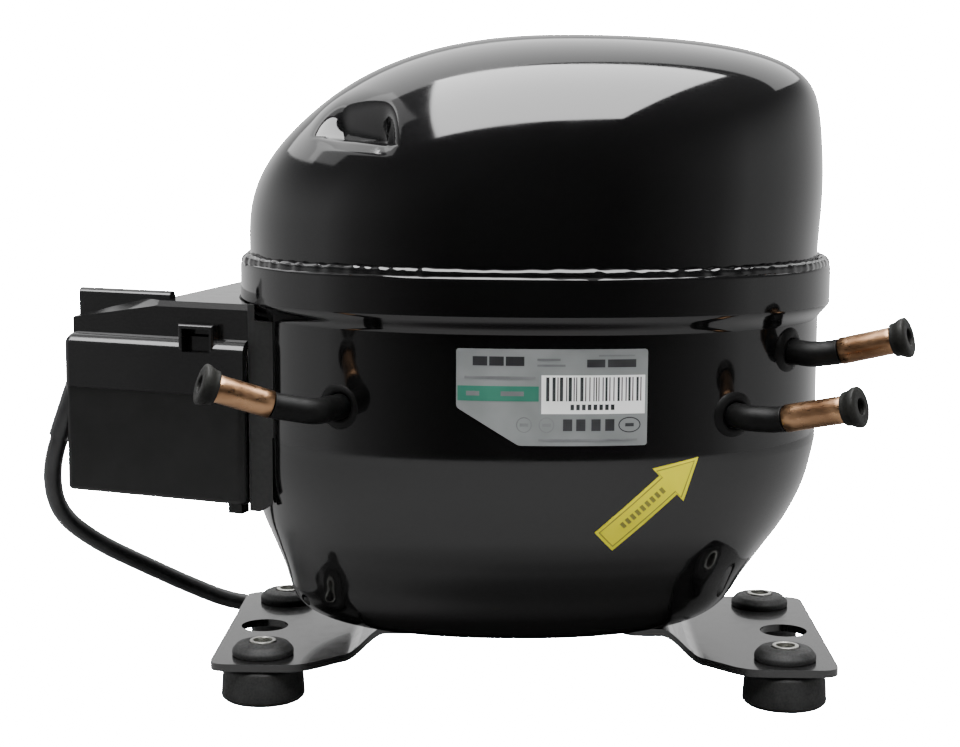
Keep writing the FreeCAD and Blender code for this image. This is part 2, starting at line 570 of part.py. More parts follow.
def make_crankcase():
    deck = box(-46, 54.4, -42, 42, DECK_Z0, DECK_Z1)
    upright = [e for e in deck.Edges if abs(e.tangentAt(e.FirstParameter).z) > 0.9]
    deck = deck.makeFillet(10.0, upright)
    hub = rod(14.0, V(0, 0, STACK_Z1 + 7), V(0, 0, BEARING_TOP))
    legs = [rod(7.0, V(sx * BOLT_XY, sy * BOLT_XY, STACK_Z1), V(sx * BOLT_XY, sy * BOLT_XY, DECK_Z1))
            for sx in (-1, 1) for sy in (-1, 1)]
    block = box(BLOCK_X0, BLOCK_X1, -21, 21, DECK_Z0, CYL_Z + 21)
    edges = [e for e in block.Edges if abs(e.tangentAt(e.FirstParameter).x) > 0.9
             and e.BoundBox.ZMin > CYL_Z]
    block = block.makeFillet(6.0, edges)
    case = fuse([deck, hub, block] + legs)
    case = case.cut(rod(SHAFT_R + 0.03, V(0, 0, 100), V(0, 0, 150)))
    case = case.cut(rod(BORE_R, V(BLOCK_X0 - 1, 0, CYL_Z), V(BLOCK_X1 + 1, 0, CYL_Z)))
    for sx in (-1, 1):
        for sy in (-1, 1):
            case = case.cut(rod(2.62, V(sx * BOLT_XY, sy * BOLT_XY, 100), V(sx * BOLT_XY, sy * BOLT_XY, 141)))
            y, z = sx * HEAD_BOLT, CYL_Z + sy * HEAD_BOLT
            case = case.cut(rod(2.45, V(BLOCK_X1 - 16, y, z), V(BLOCK_X1 + 1, y, z)))
    save("crankcase", at_crank(case))


def make_crankshaft():
    pin = crank_pin_centre()
    shaft = rod(SHAFT_R, V(0, 0, 56), V(0, 0, BEARING_TOP + 1.2))
    web = fuse([rod(13.5, V(0, 0, WEB_Z0), V(0, 0, WEB_Z1)),
                rod(10.5, pin + V(0, 0, WEB_Z0), pin + V(0, 0, WEB_Z1))])
    journal = rod(PIN_R, pin + V(0, 0, WEB_Z0), pin + V(0, 0, CYL_Z + 7.0))
    crank = fuse([shaft, web, journal])
    crank = crank.cut(rod(4.0, V(0, 0, 50), V(0, 0, 78)))
    crank = crank.cut(rod(1.6, V(0, 0, 76), pin * 0.3 + V(0, 0, WEB_Z0 + 2)))
    save("crankshaft", at_crank(crank))

    sector = ring(24.0, 13.6, V(0, 0, WEB_Z0 + 0.4), V(0, 0, WEB_Z1 - 0.2))
    mask = box(-40, -1, -40, 40, 100, 200)
    mask.rotate(V(0, 0, 0), Z, CRANK_REST)
    save("counterweight", at_crank(sector.common(mask).cut(
        rod(10.6, pin + V(0, 0, 100), pin + V(0, 0, 160)))))
    save("thrust_washer", at_crank(ring(13.4, 9.3, V(0, 0, BEARING_TOP + 0.02), V(0, 0, WEB_Z0 - 0.03))))
    pickup = ring(3.98, 2.8, V(0, 0, 30), V(0, 0, 66))
    save("oil_pickup", at_crank(pickup.fuse(ring(3.98, 1.4, V(0, 0, 28.5), V(0, 0, 30)))))


def make_slider():
    centre = crank_pin_centre(CYL_Z)
    block = rod(9.54, centre - Y * 10, centre + Y * 10)
    block = block.cut(rod(PIN_R + 0.04, centre - Z * 20, centre + Z * 20))
    save("slider_block", at_crank(block))

    p = V(YOKE_X, 0, CYL_Z)
    tube = rod(12.0, p - Y * 25, p + Y * 25)
    skirt = rod(PISTON_R, p + X * 16, p + X * CROWN)
    stem = rod(8.0, p, p + X * 18)
    piston = fuse([tube, stem, skirt]).cut(rod(9.6, p - Y * 30, p + Y * 30))
    slot = box(-PIN_R - 0.8, PIN_R + 0.8, -17.4, 17.4, -13, 0)
    slot.translate(p)
    piston = piston.cut(slot).cut(rod(3.0, p, p + Z * 14))
    for groove in (CROWN - 5, CROWN - 10):
        piston = piston.cut(ring(PISTON_R + 1, PISTON_R - 0.5, p + X * groove, p + X * (groove + 1.2)))
    piston = piston.cut(moved(box(CROWN - 1.6, CROWN + 1, -10, 6, -5, 5), p))
    save("piston_yoke", at_crank(piston))
    plug = rod(2.95, p + Z * 9.9, p + Z * 12.5).fuse(rod(4.6, p + Z * 12.3, p + Z * 14.0))
    save("yoke_oil_plug", at_crank(plug))


def make_valves():
    y, z, c = 21.0, 21.0, CYL_Z
    holes = [rod(2.45, V(50, sy * HEAD_BOLT, c + sz * HEAD_BOLT), V(80, sy * HEAD_BOLT, c + sz * HEAD_BOLT))
             for sy in (-1, 1) for sz in (-1, 1)]
    bolt_holes = fuse(holes)
    plate = box(PLATE_X0, PLATE_X1, -y, y, c - z, c + z).cut(bolt_holes)
    suction_port, discharge_port = V(PLATE_X0 - 1, -5, c), V(PLATE_X0 - 1, 6, c + 6)
    for port in (suction_port, discharge_port):
        plate = plate.cut(rod(2.6, port, port + X * 6))
    save("valve_plate", at_crank(plate))
    gasket = box(BLOCK_X1 + 0.02, PLATE_X0 - 0.02, -y, y, c - z, c + z).cut(bolt_holes)
    gasket = gasket.cut(rod(BORE_R + 0.4, V(BLOCK_X1 - 1, 0, c), V(PLATE_X0 + 1, 0, c)))
    head_gasket = box(PLATE_X1 + 0.02, HEAD_X0 - 0.02, -y, y, c - z, c + z).cut(bolt_holes)
    head_gasket = head_gasket.cut(box(PLATE_X1 - 1, HEAD_X0 + 1, -17, 17, c - 12, c + 12))
    save("head_gaskets", at_crank(group([gasket, head_gasket])))
    reed = fuse([box(PLATE_X0 - 0.25, PLATE_X0 - 0.05, -9.5, 5.5, c - 2.4, c + 2.4),
                 rod(4.0, V(PLATE_X0 - 0.25, -5, c), V(PLATE_X0 - 0.05, -5, c))])
    save("suction_reed", at_crank(reed))
    leaf = fuse([box(PLATE_X1 + 0.05, PLATE_X1 + 0.25, -11, 8, c + 3.8, c + 8.2),
                 rod(4.0, V(PLATE_X1 + 0.05, 6, c + 6), V(PLATE_X1 + 0.25, 6, c + 6))])
    save("discharge_reed", at_crank(leaf))
    stop = Part.Face(Part.makePolygon([V(PLATE_X1 + 0.6, -11, c + 3.5), V(PLATE_X1 + 1.0, -11, c + 3.5),
                                       V(PLATE_X1 + 2.6, 9, c + 3.5), V(PLATE_X1 + 2.0, 9, c + 3.5),
                                       V(PLATE_X1 + 0.6, -11, c + 3.5)])).extrude(V(0, 0, 5))
    foot = rod(1.4, V(PLATE_X1 - 0.0, -13, c + 6), V(PLATE_X1 + 1.2, -13, c + 6))
    base = box(PLATE_X1, PLATE_X1 + 1.0, -15, -11.3, c + 3.5, c + 8.5)
    base = base.fuse(box(PLATE_X1 + 0.6, PLATE_X1 + 1.0, -15, -10.9, c + 3.5, c + 8.5))
    save("discharge_stop", at_crank(fuse([stop, foot, base])))
    head = box(HEAD_X0, HEAD_X1, -y, y, c - z, c + z)
    edges = [e for e in head.Edges if abs(e.tangentAt(e.FirstParameter).x) > 0.9]
    head = head.makeFillet(5.0, edges)
    head = head.cut(box(HEAD_X0 - 1, HEAD_X1 - 3, -17, -0.8, c - 12, c + 12).fuse(
        box(HEAD_X0 - 1, HEAD_X1 - 3, 0.8, 17, c - 12, c + 12))).cut(bolt_holes)
    head = head.cut(box(HEAD_X0 - 1, HEAD_X0 + 2.2, -16, 12, c + 2, c + 11))
    save("cylinder_head", at_crank(head))
    bolts = [fuse([rod(2.4, V(BLOCK_X1 - 14, sy * HEAD_BOLT, c + sz * HEAD_BOLT),
                       V(HEAD_X1 + 1, sy * HEAD_BOLT, c + sz * HEAD_BOLT)),
                   rod(4.4, V(HEAD_X1 + 0.02, sy * HEAD_BOLT, c + sz * HEAD_BOLT),
                       V(HEAD_X1 + 4, sy * HEAD_BOLT, c + sz * HEAD_BOLT))])
             for sy in (-1, 1) for sz in (-1, 1)]
    save("head_bolts", at_crank(group(bolts)))


def make_mufflers():
    can = box(20, 56, 24.2, 45, 141.5, 178)
    can = can.makeFillet(5.0, can.Edges)
    inside = box(22, 54, 26.2, 43, 143.5, 176)
    snout = fuse([rod(5.0, V(50, 38, 168), V(66, 38, 168)), rod(5.0, V(66, 38, 168), V(66, 21.2, 168))])
    throat = fuse([rod(3.4, V(49, 38, 168), V(66, 38, 168)), rod(3.4, V(66, 38, 168), V(66, 20, 168))])
    save("suction_muffler", at_crank(can.cut(inside).fuse(snout).cut(throat)))
    pot = rod(11.0, V(14, -38, DECK_Z1 + 0.02), V(14, -38, 164))
    rim = [e for e in pot.Edges if e.BoundBox.ZMin > 163]
    pot = pot.makeFillet(4.0, rim).cut(rod(9.0, V(14, -38, DECK_Z1 + 2), V(14, -38, 160)))
    link = pipe([V(23.4, -38, 150), V(60, -37, 152), V(66, -20.6, 152)], [9.0], 2.4, 1.6)
    save("discharge_muffler", at_crank(pot.cut(rod(2.45, V(22, -38, 150), V(27, -38, 150)))))
    save("head_link_tube", at_crank(link))
    port = TUBES["discharge"][0][0]
    loop = pipe([V(6.0, -49.4, 147.0), V(24.0, -56.0, 147.0), V(52.0, -48.0, 139.0),
                 V(66.0, -40.0, 123.0), port - X * 1.5], [10.0, 18.0, 6.0], 2.4, 1.6)
    save("discharge_loop", loop.cut(at_crank(rod(11.35, V(14, -38, 130), V(14, -38, 170)))))


def make_motor_leads():
    start = box_point(62 + 14, TERMINAL_W, TERMINAL_Z)
    leads = []
    for i, offset in enumerate((-5, 0, 5)):
        a = start + V(0, offset, 0)
        leads.append(pipe([a, a + V(5, 0, 22), V(-51, offset * 1.6, 123)], [4.0], 1.2))
    save("motor_leads", group(leads))


os.makedirs("parts", exist_ok=True)
shell_outer, shell_inner = make_shells()
make_feet(shell_outer)
make_tubes()
make_stickers()
make_terminal_box()
make_lead()
make_motor(shell_inner)
make_crankcase()
make_crankshaft()
make_slider()
make_valves()
make_mufflers()
make_motor_leads()
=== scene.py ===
"""Hermetic compressor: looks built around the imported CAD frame. Metres, +Z up."""
import math
import random

import bmesh
import bpy
from mathutils import Matrix, Vector


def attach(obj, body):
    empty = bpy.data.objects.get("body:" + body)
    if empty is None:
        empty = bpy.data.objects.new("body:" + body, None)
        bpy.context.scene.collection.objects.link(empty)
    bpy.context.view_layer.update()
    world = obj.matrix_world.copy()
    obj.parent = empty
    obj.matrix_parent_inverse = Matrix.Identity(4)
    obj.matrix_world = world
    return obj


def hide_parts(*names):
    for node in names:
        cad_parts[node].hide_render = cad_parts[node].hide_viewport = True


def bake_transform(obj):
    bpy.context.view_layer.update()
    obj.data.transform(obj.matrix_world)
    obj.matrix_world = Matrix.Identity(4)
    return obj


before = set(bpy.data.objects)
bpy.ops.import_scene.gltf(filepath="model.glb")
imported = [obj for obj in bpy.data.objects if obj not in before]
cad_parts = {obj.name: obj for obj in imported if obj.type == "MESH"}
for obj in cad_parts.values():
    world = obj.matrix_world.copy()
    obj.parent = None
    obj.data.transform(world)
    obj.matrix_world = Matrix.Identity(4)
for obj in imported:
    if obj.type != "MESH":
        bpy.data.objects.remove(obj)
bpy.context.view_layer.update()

MM = 0.001
ROUND = 2 * math.pi

# Shell form, as the CAD model has it (mm)
SHELL_X = 2.8
WALL_A, WALL_B = 94.1, 69.6
LIP_A, LIP_B = 97.8, 73.1
PLAN_POWER = 2.2
SHEET_UPPER, SHEET_LOWER, LIP_ROUND = 3.0, 2.6, 1.6
BOTTOM_Z, BOWL_Z = 23.3, 84.0
STEP_Z0, STEP_Z1, SEAM_Z = 124.5, 128.5, 141.5
SKIRT_Z, TOP_Z = 129.0, 215.3
APEX_X, DOME_LEFT, DOME_RIGHT = 12.0, -91.9, 96.2
BOTTOM_SHIFT, SHIFT_POWER = 8.6, 1.15
BOWL = [(23.3, 60.0), (24.3, 66.0), (26.8, 70.8), (30.8, 74.2), (39.0, 78.0), (48.0, 83.0),
        (58.0, 88.4), (70.0, 92.4), (84.0, WALL_A)]
SHELL_SEGMENTS = 384

# Dome: the height (mm) where each side starts to turn in, and the two powers of its curve
LEFT_CURVE, RIGHT_CURVE, FRONT_CURVE = (141.3, 2.12, 2.3), (171.3, 5.3, 2.36), (150.0, 2.8, 2.8)

# Swell of the dome's sides (mm): its height, half height, and depth on the left and on the right
SWELL_Z, SWELL_HALF, SWELL_LEFT, SWELL_RIGHT = 168.0, 26.0, 2.0, 1.2

# Pressed dimple (mm): middle of its lower edge, its lean, size and depth, and how its ends fade
DIMPLE_X, DIMPLE_Z, DIMPLE_TILT = -53.5, 177.4, 0.08
DIMPLE_HALF, DIMPLE_HEIGHT, DIMPLE_DEPTH = 15.0, 20.0, 12.5
FADE_LEFT, FADE_RIGHT = 12.0, 5.0

# Its ledge (height, share of the depth, step behind) and its arched hood (low, rise, middle, half width)
LEDGE, LEDGE_SHARE, LEDGE_STEP = 3.4, 0.26, 0.4
HOOD_LOW, HOOD_RISE, HOOD_X, HOOD_HALF = 3.0, 13.5, 2.0, 17.0

# Feet, their grommets and sleeves (mm)
FOOT_X, FOOT_Y, FOOT_HOLE_R, SPARE_HOLE_X = 85.0, 35.0, 8.0, 89.0
PLATE_T, PLATE_TOP, TAB_TOP = 2.5, 14.5, 23.2
FOOT = [(101, -48), (101, 47), (71, 47), (56, 32.5), (32, 32), (32, -32), (56, -32.5), (71, -48)]
BOLT_R, SLEEVE_R, SLEEVE_H = 3.1, 4.28, 19.2

# Tube ends (mm): points from inside the shell to the open end, and the bend radii
TUBE_R, TUBE_BORE = 4.0, 3.1
TUBES = {
    "process": ([(-54.0, -48.5, 99.4), (-63.5, -70.5, 100.0), (-75.2, -73.7, 102.3),
                 (-93.3, -80.2, 108.8)], [7.0, 14.0]),
    "suction": ([(58.5, -45.5, 98.0), (67.5, -60.5, 97.6), (76.5, -62.9, 97.4),
                 (96.6, -75.5, 103.1)], [7.0, 16.0]),
    "discharge": ([(76.0, -34.5, 116.4), (89.5, -44.6, 115.4), (96.0, -45.6, 116.1),
                   (114.2, -54.5, 121.5)], [7.0, 14.0]),
}

# (radius, height) outlines about a tube: the collar at the shell, and the plug in the open end (mm)
COLLAR = [(TUBE_R + 0.05, -2.5), (7.6, -2.5), (7.6, -0.4), (6.2, 0.6), (5.0, 1.0), (TUBE_R + 0.05, 0.6)]
PLUG = [(0.02, 1.4), (2.6, 1.4), (2.6, 3.9), (5.2, 3.9), (6.3, 3.4), (6.2, 1.9), (5.3, 0.1), (5.2, -1.3),
        (TUBE_R + 0.55, -1.3), (TUBE_R + 0.55, 0.1), (TUBE_BORE - 0.3, 0.1), (TUBE_BORE - 0.3, -8.9),
        (0.02, -8.9)]

# Supply lead (mm)
LEAD_R, LEAD_LENGTH = 3.1, 1000.0
LEAD_ROUTE = [(-150.2, -5.5, 98.5), (-156.0, -5.0, 85.0), (-161.8, -1.0, 68.0),
              (-161.3, 7.5, 51.5), (-150.8, 19.5, 38.8), (-137.2, 31.0, 28.6),
              (-122.4, 43.0, 17.8), (-108.0, 55.5, 8.2), (-91.5, 67.5, 4.0),
              (-72.0, 78.5, 3.4), (-51.0, 84.0, 3.4), (-30.5, 85.2, 3.6), (-14.0, 86.0, 3.8)]
COIL_AT, COIL_MEAN_R, COIL_STEP, COIL_TURNS = (-14.0, 120.0), 34.0, 6.3, 3.6

# Labels (mm): how far each printed layer stands off the shell, its thickness, and its strips' width
FILM, PRINT, OVERPRINT, TOP_PRINT = 0.14, 0.20, 0.26, 0.32
FILM_T, STRIP = 0.06, 1.5

# Light: the strength of the white that the camera sees, and the direction of the soft boxes overhead
WHITE = 60.0
DOWN = (0.0, 0.0001, -0.95)


# ------------------------------------------------------------------ camera, floor and light

def make_camera():
    """Camera at the photograph's viewing angle: its place and lens in mm, its turns in radians."""
    place, lens, sensor = Vector((-1.1, -650.0, 190.8)), 72.8625, 36.0
    yaw, pitch, roll = -0.0218, 0.1349, 0.0044
    cos_y, sin_y, cos_p, sin_p = math.cos(yaw), math.sin(yaw), math.cos(pitch), math.sin(pitch)
    level = Vector((cos_y, -sin_y, 0))
    ahead = Vector((sin_y * cos_p, cos_y * cos_p, -sin_p))
    above = Vector((sin_y * sin_p, cos_y * sin_p, cos_p))
    right = math.cos(roll) * level + math.sin(roll) * above
    up = -math.sin(roll) * level + math.cos(roll) * above
    data = bpy.data.cameras.new("camera")
    data.sensor_width, data.lens = sensor, lens
    camera = bpy.data.objects.new("camera", data)
    stand = Matrix((right, up, -ahead)).transposed().to_4x4()
    stand.translation = place * MM
    camera.matrix_world = stand
    bpy.context.collection.objects.link(camera)
    bpy.context.scene.camera = camera


def link(name, mesh):
    obj = bpy.data.objects.new(name, mesh)
    bpy.context.collection.objects.link(obj)
    return obj


def area_light(name, place, aim, size, radiance, twist=0.0):
    """Rectangular soft box facing along aim and turned about it by twist."""
    data = bpy.data.lights.new(name, "AREA")
    data.shape = "RECTANGLE"
    data.size, data.size_y = size
    data.energy = radiance * math.pi * size[0] * size[1]
    lamp = bpy.data.objects.new(name, data)
    turn = Vector(aim).to_track_quat("-Z", "Y").to_matrix()
    turn = turn @ Matrix.Rotation(twist, 3, "Z")
    lamp.matrix_world = Matrix.Translation(Vector(place)) @ turn.to_4x4()
    bpy.context.collection.objects.link(lamp)
    return lamp


def grey_ramp(nodes, stops):
    """Colour ramp through (position, grey) stops."""
    ramp = nodes.new("ShaderNodeValToRGB")
    elements = ramp.color_ramp.elements
    for element, (position, grey) in zip(elements, (stops[0], stops[-1])):
        element.position, element.color = position, (grey, grey, grey, 1)
    for position, grey in stops[1:-1]:
        elements.new(position).color = (grey, grey, grey, 1)
    return ramp


def white_to_camera(nodes, links, seen, lit, out):
    """Show the camera the seen shader and every other ray the lit one."""
    rays, mix = nodes.new("ShaderNodeLightPath"), nodes.new("ShaderNodeMixShader")
    links.new(rays.outputs["Is Camera Ray"], mix.inputs[0])
    links.new(lit.outputs[0], mix.inputs[1])
    links.new(seen.outputs[0], mix.inputs[2])
    links.new(mix.outputs[0], out.inputs["Surface"])


def make_world():
    """White behind and beside the object, dark towards its front and high at its sides."""
    world = bpy.data.worlds.new("studio")
    bpy.context.scene.world = world
    world.use_nodes = True
    nodes, links = world.node_tree.nodes, world.node_tree.links
    nodes.clear()
    where, split = nodes.new("ShaderNodeTexCoord"), nodes.new("ShaderNodeSeparateXYZ")
    links.new(where.outputs["Generated"], split.inputs[0])
    depth = nodes.new("ShaderNodeMapRange")
    depth.inputs["From Min"].default_value, depth.inputs["From Max"].default_value = -1.0, 1.0
    links.new(split.outputs["Y"], depth.inputs["Value"])
    ramp = grey_ramp(nodes, ((0.03, 0.02), (0.10, 0.12), (0.22, 0.35), (0.34, 0.8), (0.55, 0.9), (0.90, 1.2)))
    links.new(depth.outputs["Result"], ramp.inputs[0])
    height = nodes.new("ShaderNodeMapRange")
    height.interpolation_type = "SMOOTHSTEP"
    height.inputs["From Min"].default_value, height.inputs["From Max"].default_value = 0.08, 0.55
    height.inputs["To Min"].default_value, height.inputs["To Max"].default_value = 1.0, 0.18
    links.new(split.outputs["Z"], height.inputs["Value"])
    dim, pale = nodes.new("ShaderNodeBackground"), nodes.new("ShaderNodeBackground")
    links.new(ramp.outputs[0], dim.inputs["Color"])
    links.new(height.outputs["Result"], dim.inputs["Strength"])
    pale.inputs["Color"].default_value = (1.0, 1.0, 1.0, 1)
    pale.inputs["Strength"].default_value = WHITE
    white_to_camera(nodes, links, pale, dim, nodes.new("ShaderNodeOutputWorld"))


def make_lights():
    """Soft boxes over, behind and to the left of the object, and one that lights the terminal lid alone."""
    area_light("key_box", (-0.03, -0.22, 0.95), DOWN, (0.82, 0.93), 18, math.radians(-12))
    area_light("back_box", (-0.15, 1.10, 0.98), DOWN, (2.6, 1.60), 2.4)
    lid_box = area_light("lid_box", (-0.80, -0.40, 0.73), (0.68, 0.38, -0.62), (0.40, 0.55), 17)
    lid_only = bpy.data.collections.new("lid_only")
    lid_only.objects.link(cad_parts["terminal_lid"])
    lid_box.light_linking.receiver_collection = lid_only
    area_light("side_box", (-0.92, 0.15, 0.95), DOWN, (0.84, 0.62), 1.3)


def make_floor():
    """Round paper floor, darker towards its middle under the object as a painted shadow and paler towards its
    rim, which the camera sees as pure white.
    """
    mesh = bpy.data.meshes.new("floor")
    radius, middle, segments = 0.52, 0.08, 96
    rim = [(x, y, 0) for x, y in circle(0, middle, radius, segments)]
    mesh.from_pydata(rim, [], [list(range(segments))])
    floor = link("floor", mesh)
    material, shader, nodes, links = new_material("floor_paper")
    nodes.remove(shader)
    paper, seen = nodes.new("ShaderNodeBsdfDiffuse"), nodes.new("ShaderNodeEmission")
    where, ball = nodes.new("ShaderNodeTexCoord"), nodes.new("ShaderNodeTexGradient")
    shift = nodes.new("ShaderNodeMapping")
    ball.gradient_type = "SPHERICAL"
    shift.inputs["Scale"].default_value = (4.2, 4.6, 4.2)
    # Painted shadow: for every ray but the camera's, the floor's colour darkens towards its middle, under the
    # object.
    painted_floor_shadow = grey_ramp(nodes, ((0.44, 0.24), (0.56, 0.17), (0.60, 0.08), (0.66, 0.03)))
    links.new(where.outputs["Object"], shift.inputs["Vector"])
    links.new(shift.outputs[0], ball.inputs["Vector"])
    links.new(ball.outputs["Fac"], painted_floor_shadow.inputs[0])
    links.new(painted_floor_shadow.outputs[0], paper.inputs["Color"])
    seen.inputs["Strength"].default_value = WHITE
    white_to_camera(nodes, links, seen, paper, nodes["Material Output"])
    floor.data.materials.append(material)


# ------------------------------------------------------------------ materials

def new_material(name):
    material = bpy.data.materials.new(name)
    material.use_nodes = True
    nodes, links = material.node_tree.nodes, material.node_tree.links
    return material, nodes["Principled BSDF"], nodes, links


def noise(nodes, links, scale, detail, stretch):
    """Noise over the object, its space stretched by three factors."""
    where = nodes.new("ShaderNodeTexCoord")
    mapping = nodes.new("ShaderNodeMapping")
    mapping.inputs["Scale"].default_value = stretch
    texture = nodes.new("ShaderNodeTexNoise")
    texture.inputs["Scale"].default_value = scale
    texture.inputs["Detail"].default_value = detail
    links.new(where.outputs["Object"], mapping.inputs["Vector"])
    links.new(mapping.outputs[0], texture.inputs["Vector"])
    return texture.outputs["Fac"]


def spread(nodes, links, source, low, high):
    """Map a 0.3 to 0.7 noise value onto the range low to high."""
    node = nodes.new("ShaderNodeMapRange")
    node.inputs["From Min"].default_value, node.inputs["From Max"].default_value = 0.3, 0.7
    node.inputs["To Min"].default_value, node.inputs["To Max"].default_value = low, high
    links.new(source, node.inputs["Value"])
    return node.outputs["Result"]


def two_tone(nodes, links, source, dark, light):
    """Blend from dark to light over the middle of a noise value's range."""
    ramp = nodes.new("ShaderNodeValToRGB")
    for element, position, colour in zip(ramp.color_ramp.elements, (0.35, 0.65), (dark, light)):
        element.position, element.color = position, (*colour, 1)
    links.new(source, ramp.inputs[0])
    return ramp.outputs[0]


def bump(nodes, links, shader, source, distance):
    """Relief of the given depth (m)."""
    node = nodes.new("ShaderNodeBump")
    node.inputs["Strength"].default_value = 0.5
    node.inputs["Distance"].default_value = distance
    links.new(source, node.inputs["Height"])
    links.new(node.outputs[0], shader.inputs["Normal"])


def surface(name, dark, light, rough, grain, relief=0.0, metal=0.0, stretch=(1, 1, 1), coat=0.0):
    """A material whose colour, roughness and relief vary over noise of the given grain (per metre)."""
    material, shader, nodes, links = new_material(name)
    fine = noise(nodes, links, grain, 4.0, stretch)
    broad = noise(nodes, links, grain * 0.12, 2.0, stretch)
    links.new(two_tone(nodes, links, broad, dark, light), shader.inputs["Base Color"])
    links.new(spread(nodes, links, fine, rough[0], rough[1]), shader.inputs["Roughness"])
    shader.inputs["Metallic"].default_value = metal
    shader.inputs["Coat Weight"].default_value = coat
    shader.inputs["Coat Roughness"].default_value = 0.04
    if relief:
        bump(nodes, links, shader, fine, relief * MM)
    return material


def make_materials():
    made = {
        "shell": surface("gloss_black_enamel", (0.0025, 0.0025, 0.0026), (0.004, 0.004, 0.0042),
                         (0.06, 0.10), 90, 0.004),
        "foot": surface("foot_black_paint", (0.008, 0.008, 0.008), (0.012, 0.012, 0.012),
                        (0.16, 0.24), 260, 0.004, coat=0.5),
        "rubber": surface("grommet_rubber", (0.006, 0.006, 0.006), (0.014, 0.014, 0.014),
                          (0.55, 0.8), 1500, 0.03),
        "cap": surface("plug_rubber", (0.004, 0.0042, 0.0036), (0.009, 0.009, 0.0078),
                       (0.5, 0.7), 1500, 0.03),
        "zinc": surface("zinc_steel", (0.35, 0.35, 0.33), (0.6, 0.6, 0.56), (0.3, 0.45), 900, 0.01, 1.0),
        "steel": surface("ground_steel", (0.3, 0.3, 0.31), (0.5, 0.5, 0.5), (0.25, 0.4), 900, 0.01, 1.0),
        "spring": surface("spring_steel", (0.12, 0.12, 0.13), (0.25, 0.25, 0.26), (0.25, 0.4),
                          900, 0.01, 1.0),
        "copper": surface("bare_copper", (0.12, 0.062, 0.032), (0.40, 0.235, 0.13), (0.25, 0.42),
                          900, 0.02, 1.0, (0.25, 1, 1)),
        "stub": surface("stub_satin_paint", (0.002, 0.002, 0.002), (0.004, 0.004, 0.004),
                        (0.42, 0.55), 700, 0.006),
        "plastic": surface("box_plastic", (0.0025, 0.0025, 0.0026), (0.004, 0.004, 0.0041),
                           (0.12, 0.16), 200),
        "housing": surface("box_plastic_lower", (0.0025, 0.0025, 0.0025), (0.0045, 0.0045, 0.0045),
                           (0.30, 0.38), 700, 0.004),
        "bracket": surface("bracket_black", (0.002, 0.002, 0.002), (0.004, 0.004, 0.004),
                           (0.5, 0.65), 700, 0.006),
        "nylon": surface("natural_nylon", (0.55, 0.51, 0.41), (0.7, 0.66, 0.55), (0.4, 0.55), 700, 0.02),
        "phenolic": surface("phenolic", (0.01, 0.01, 0.01), (0.03, 0.03, 0.03), (0.4, 0.55), 900, 0.02),
        "iron": surface("grey_iron", (0.07, 0.07, 0.07), (0.16, 0.16, 0.155), (0.45, 0.65), 700, 0.08, 0.8),
        "lamination": surface("electrical_steel", (0.1, 0.1, 0.11), (0.22, 0.22, 0.24), (0.35, 0.55),
                              900, 0.05, 1.0, (1, 1, 12)),
        "wire": surface("magnet_wire", (0.30, 0.09, 0.03), (0.62, 0.25, 0.10), (0.3, 0.45), 900, 0.1,
                        0.8, (1, 1, 6)),
        "aluminium": surface("cast_aluminium", (0.4, 0.4, 0.41), (0.62, 0.62, 0.63), (0.35, 0.5),
                             800, 0.05, 1.0),
        "fibre": surface("gasket_fibre", (0.12, 0.09, 0.06), (0.25, 0.19, 0.13), (0.7, 0.9), 1200, 0.05),
        "glass": surface("terminal_glass", (0.03, 0.08, 0.06), (0.06, 0.14, 0.10), (0.05, 0.1), 900),
        "lead": surface("lead_pvc", (0.006, 0.006, 0.0065), (0.014, 0.014, 0.015), (0.3, 0.45), 1200, 0.02),
        "film": surface("label_film", (0.18, 0.19, 0.19), (0.22, 0.23, 0.23), (0.28, 0.4), 600, 0.004),
        "white": surface("label_white", (0.80, 0.80, 0.79), (0.88, 0.88, 0.87), (0.5, 0.62), 600, 0.004),
        "ink": surface("label_ink", (0.012, 0.012, 0.014), (0.03, 0.03, 0.033), (0.35, 0.5), 900),
        "soft_ink": surface("label_grey_ink", (0.12, 0.125, 0.13), (0.17, 0.175, 0.18), (0.35, 0.5), 900),
        "green": surface("label_green", (0.025, 0.14, 0.095), (0.04, 0.18, 0.125), (0.3, 0.42), 600, 0.004),
        "yellow": surface("arrow_yellow", (0.84, 0.76, 0.002), (0.92, 0.83, 0.004), (0.55, 0.7), 500, 0.004),
        "olive": surface("arrow_olive", (0.22, 0.20, 0.02), (0.32, 0.29, 0.03), (0.35, 0.5), 600),
    }
    for name, level in (("housing", 0.3), ("stub", 0.12), ("cap", 0.2)):
        shader = made[name].node_tree.nodes["Principled BSDF"]
        shader.inputs["Specular IOR Level"].default_value = level
    return made


def dress(obj, material, replaces=(), body="root"):
    """Give a piece its finish and the body it rides on, and hide the CAD nodes it stands for."""
    obj.data.materials.clear()
    obj.data.materials.append(material)
    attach(obj, body)
    if replaces:
        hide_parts(*replaces)


# ------------------------------------------------------------------ mesh helpers

def mesh_object(name, points, faces, shade_smooth=True):
    """Mesh from points in mm."""
    mesh = bpy.data.meshes.new(name)
    mesh.from_pydata([Vector(p) * MM for p in points], [], faces)
    mesh.validate()
    work = bmesh.new()
    work.from_mesh(mesh)
    bmesh.ops.recalc_face_normals(work, faces=work.faces)
    work.to_mesh(mesh)
    work.free()
    for face in mesh.polygons:
        face.use_smooth = shade_smooth
    return link(name, mesh)


def settle(obj):
    """Make an object's modifiers part of its mesh."""
    bpy.context.view_layer.update()
    graph = bpy.context.evaluated_depsgraph_get()
    mesh = bpy.data.meshes.new_from_object(obj.evaluated_get(graph))
    obj.modifiers.clear()
    obj.data = mesh
    return obj


def carve(obj, tool, operation="DIFFERENCE"):
    """Boolean of one object by another, which is used up."""
    cut = obj.modifiers.new("carve", "BOOLEAN")
    cut.operation, cut.solver, cut.object = operation, "EXACT", tool
    settle(obj)
    bpy.data.objects.remove(tool)


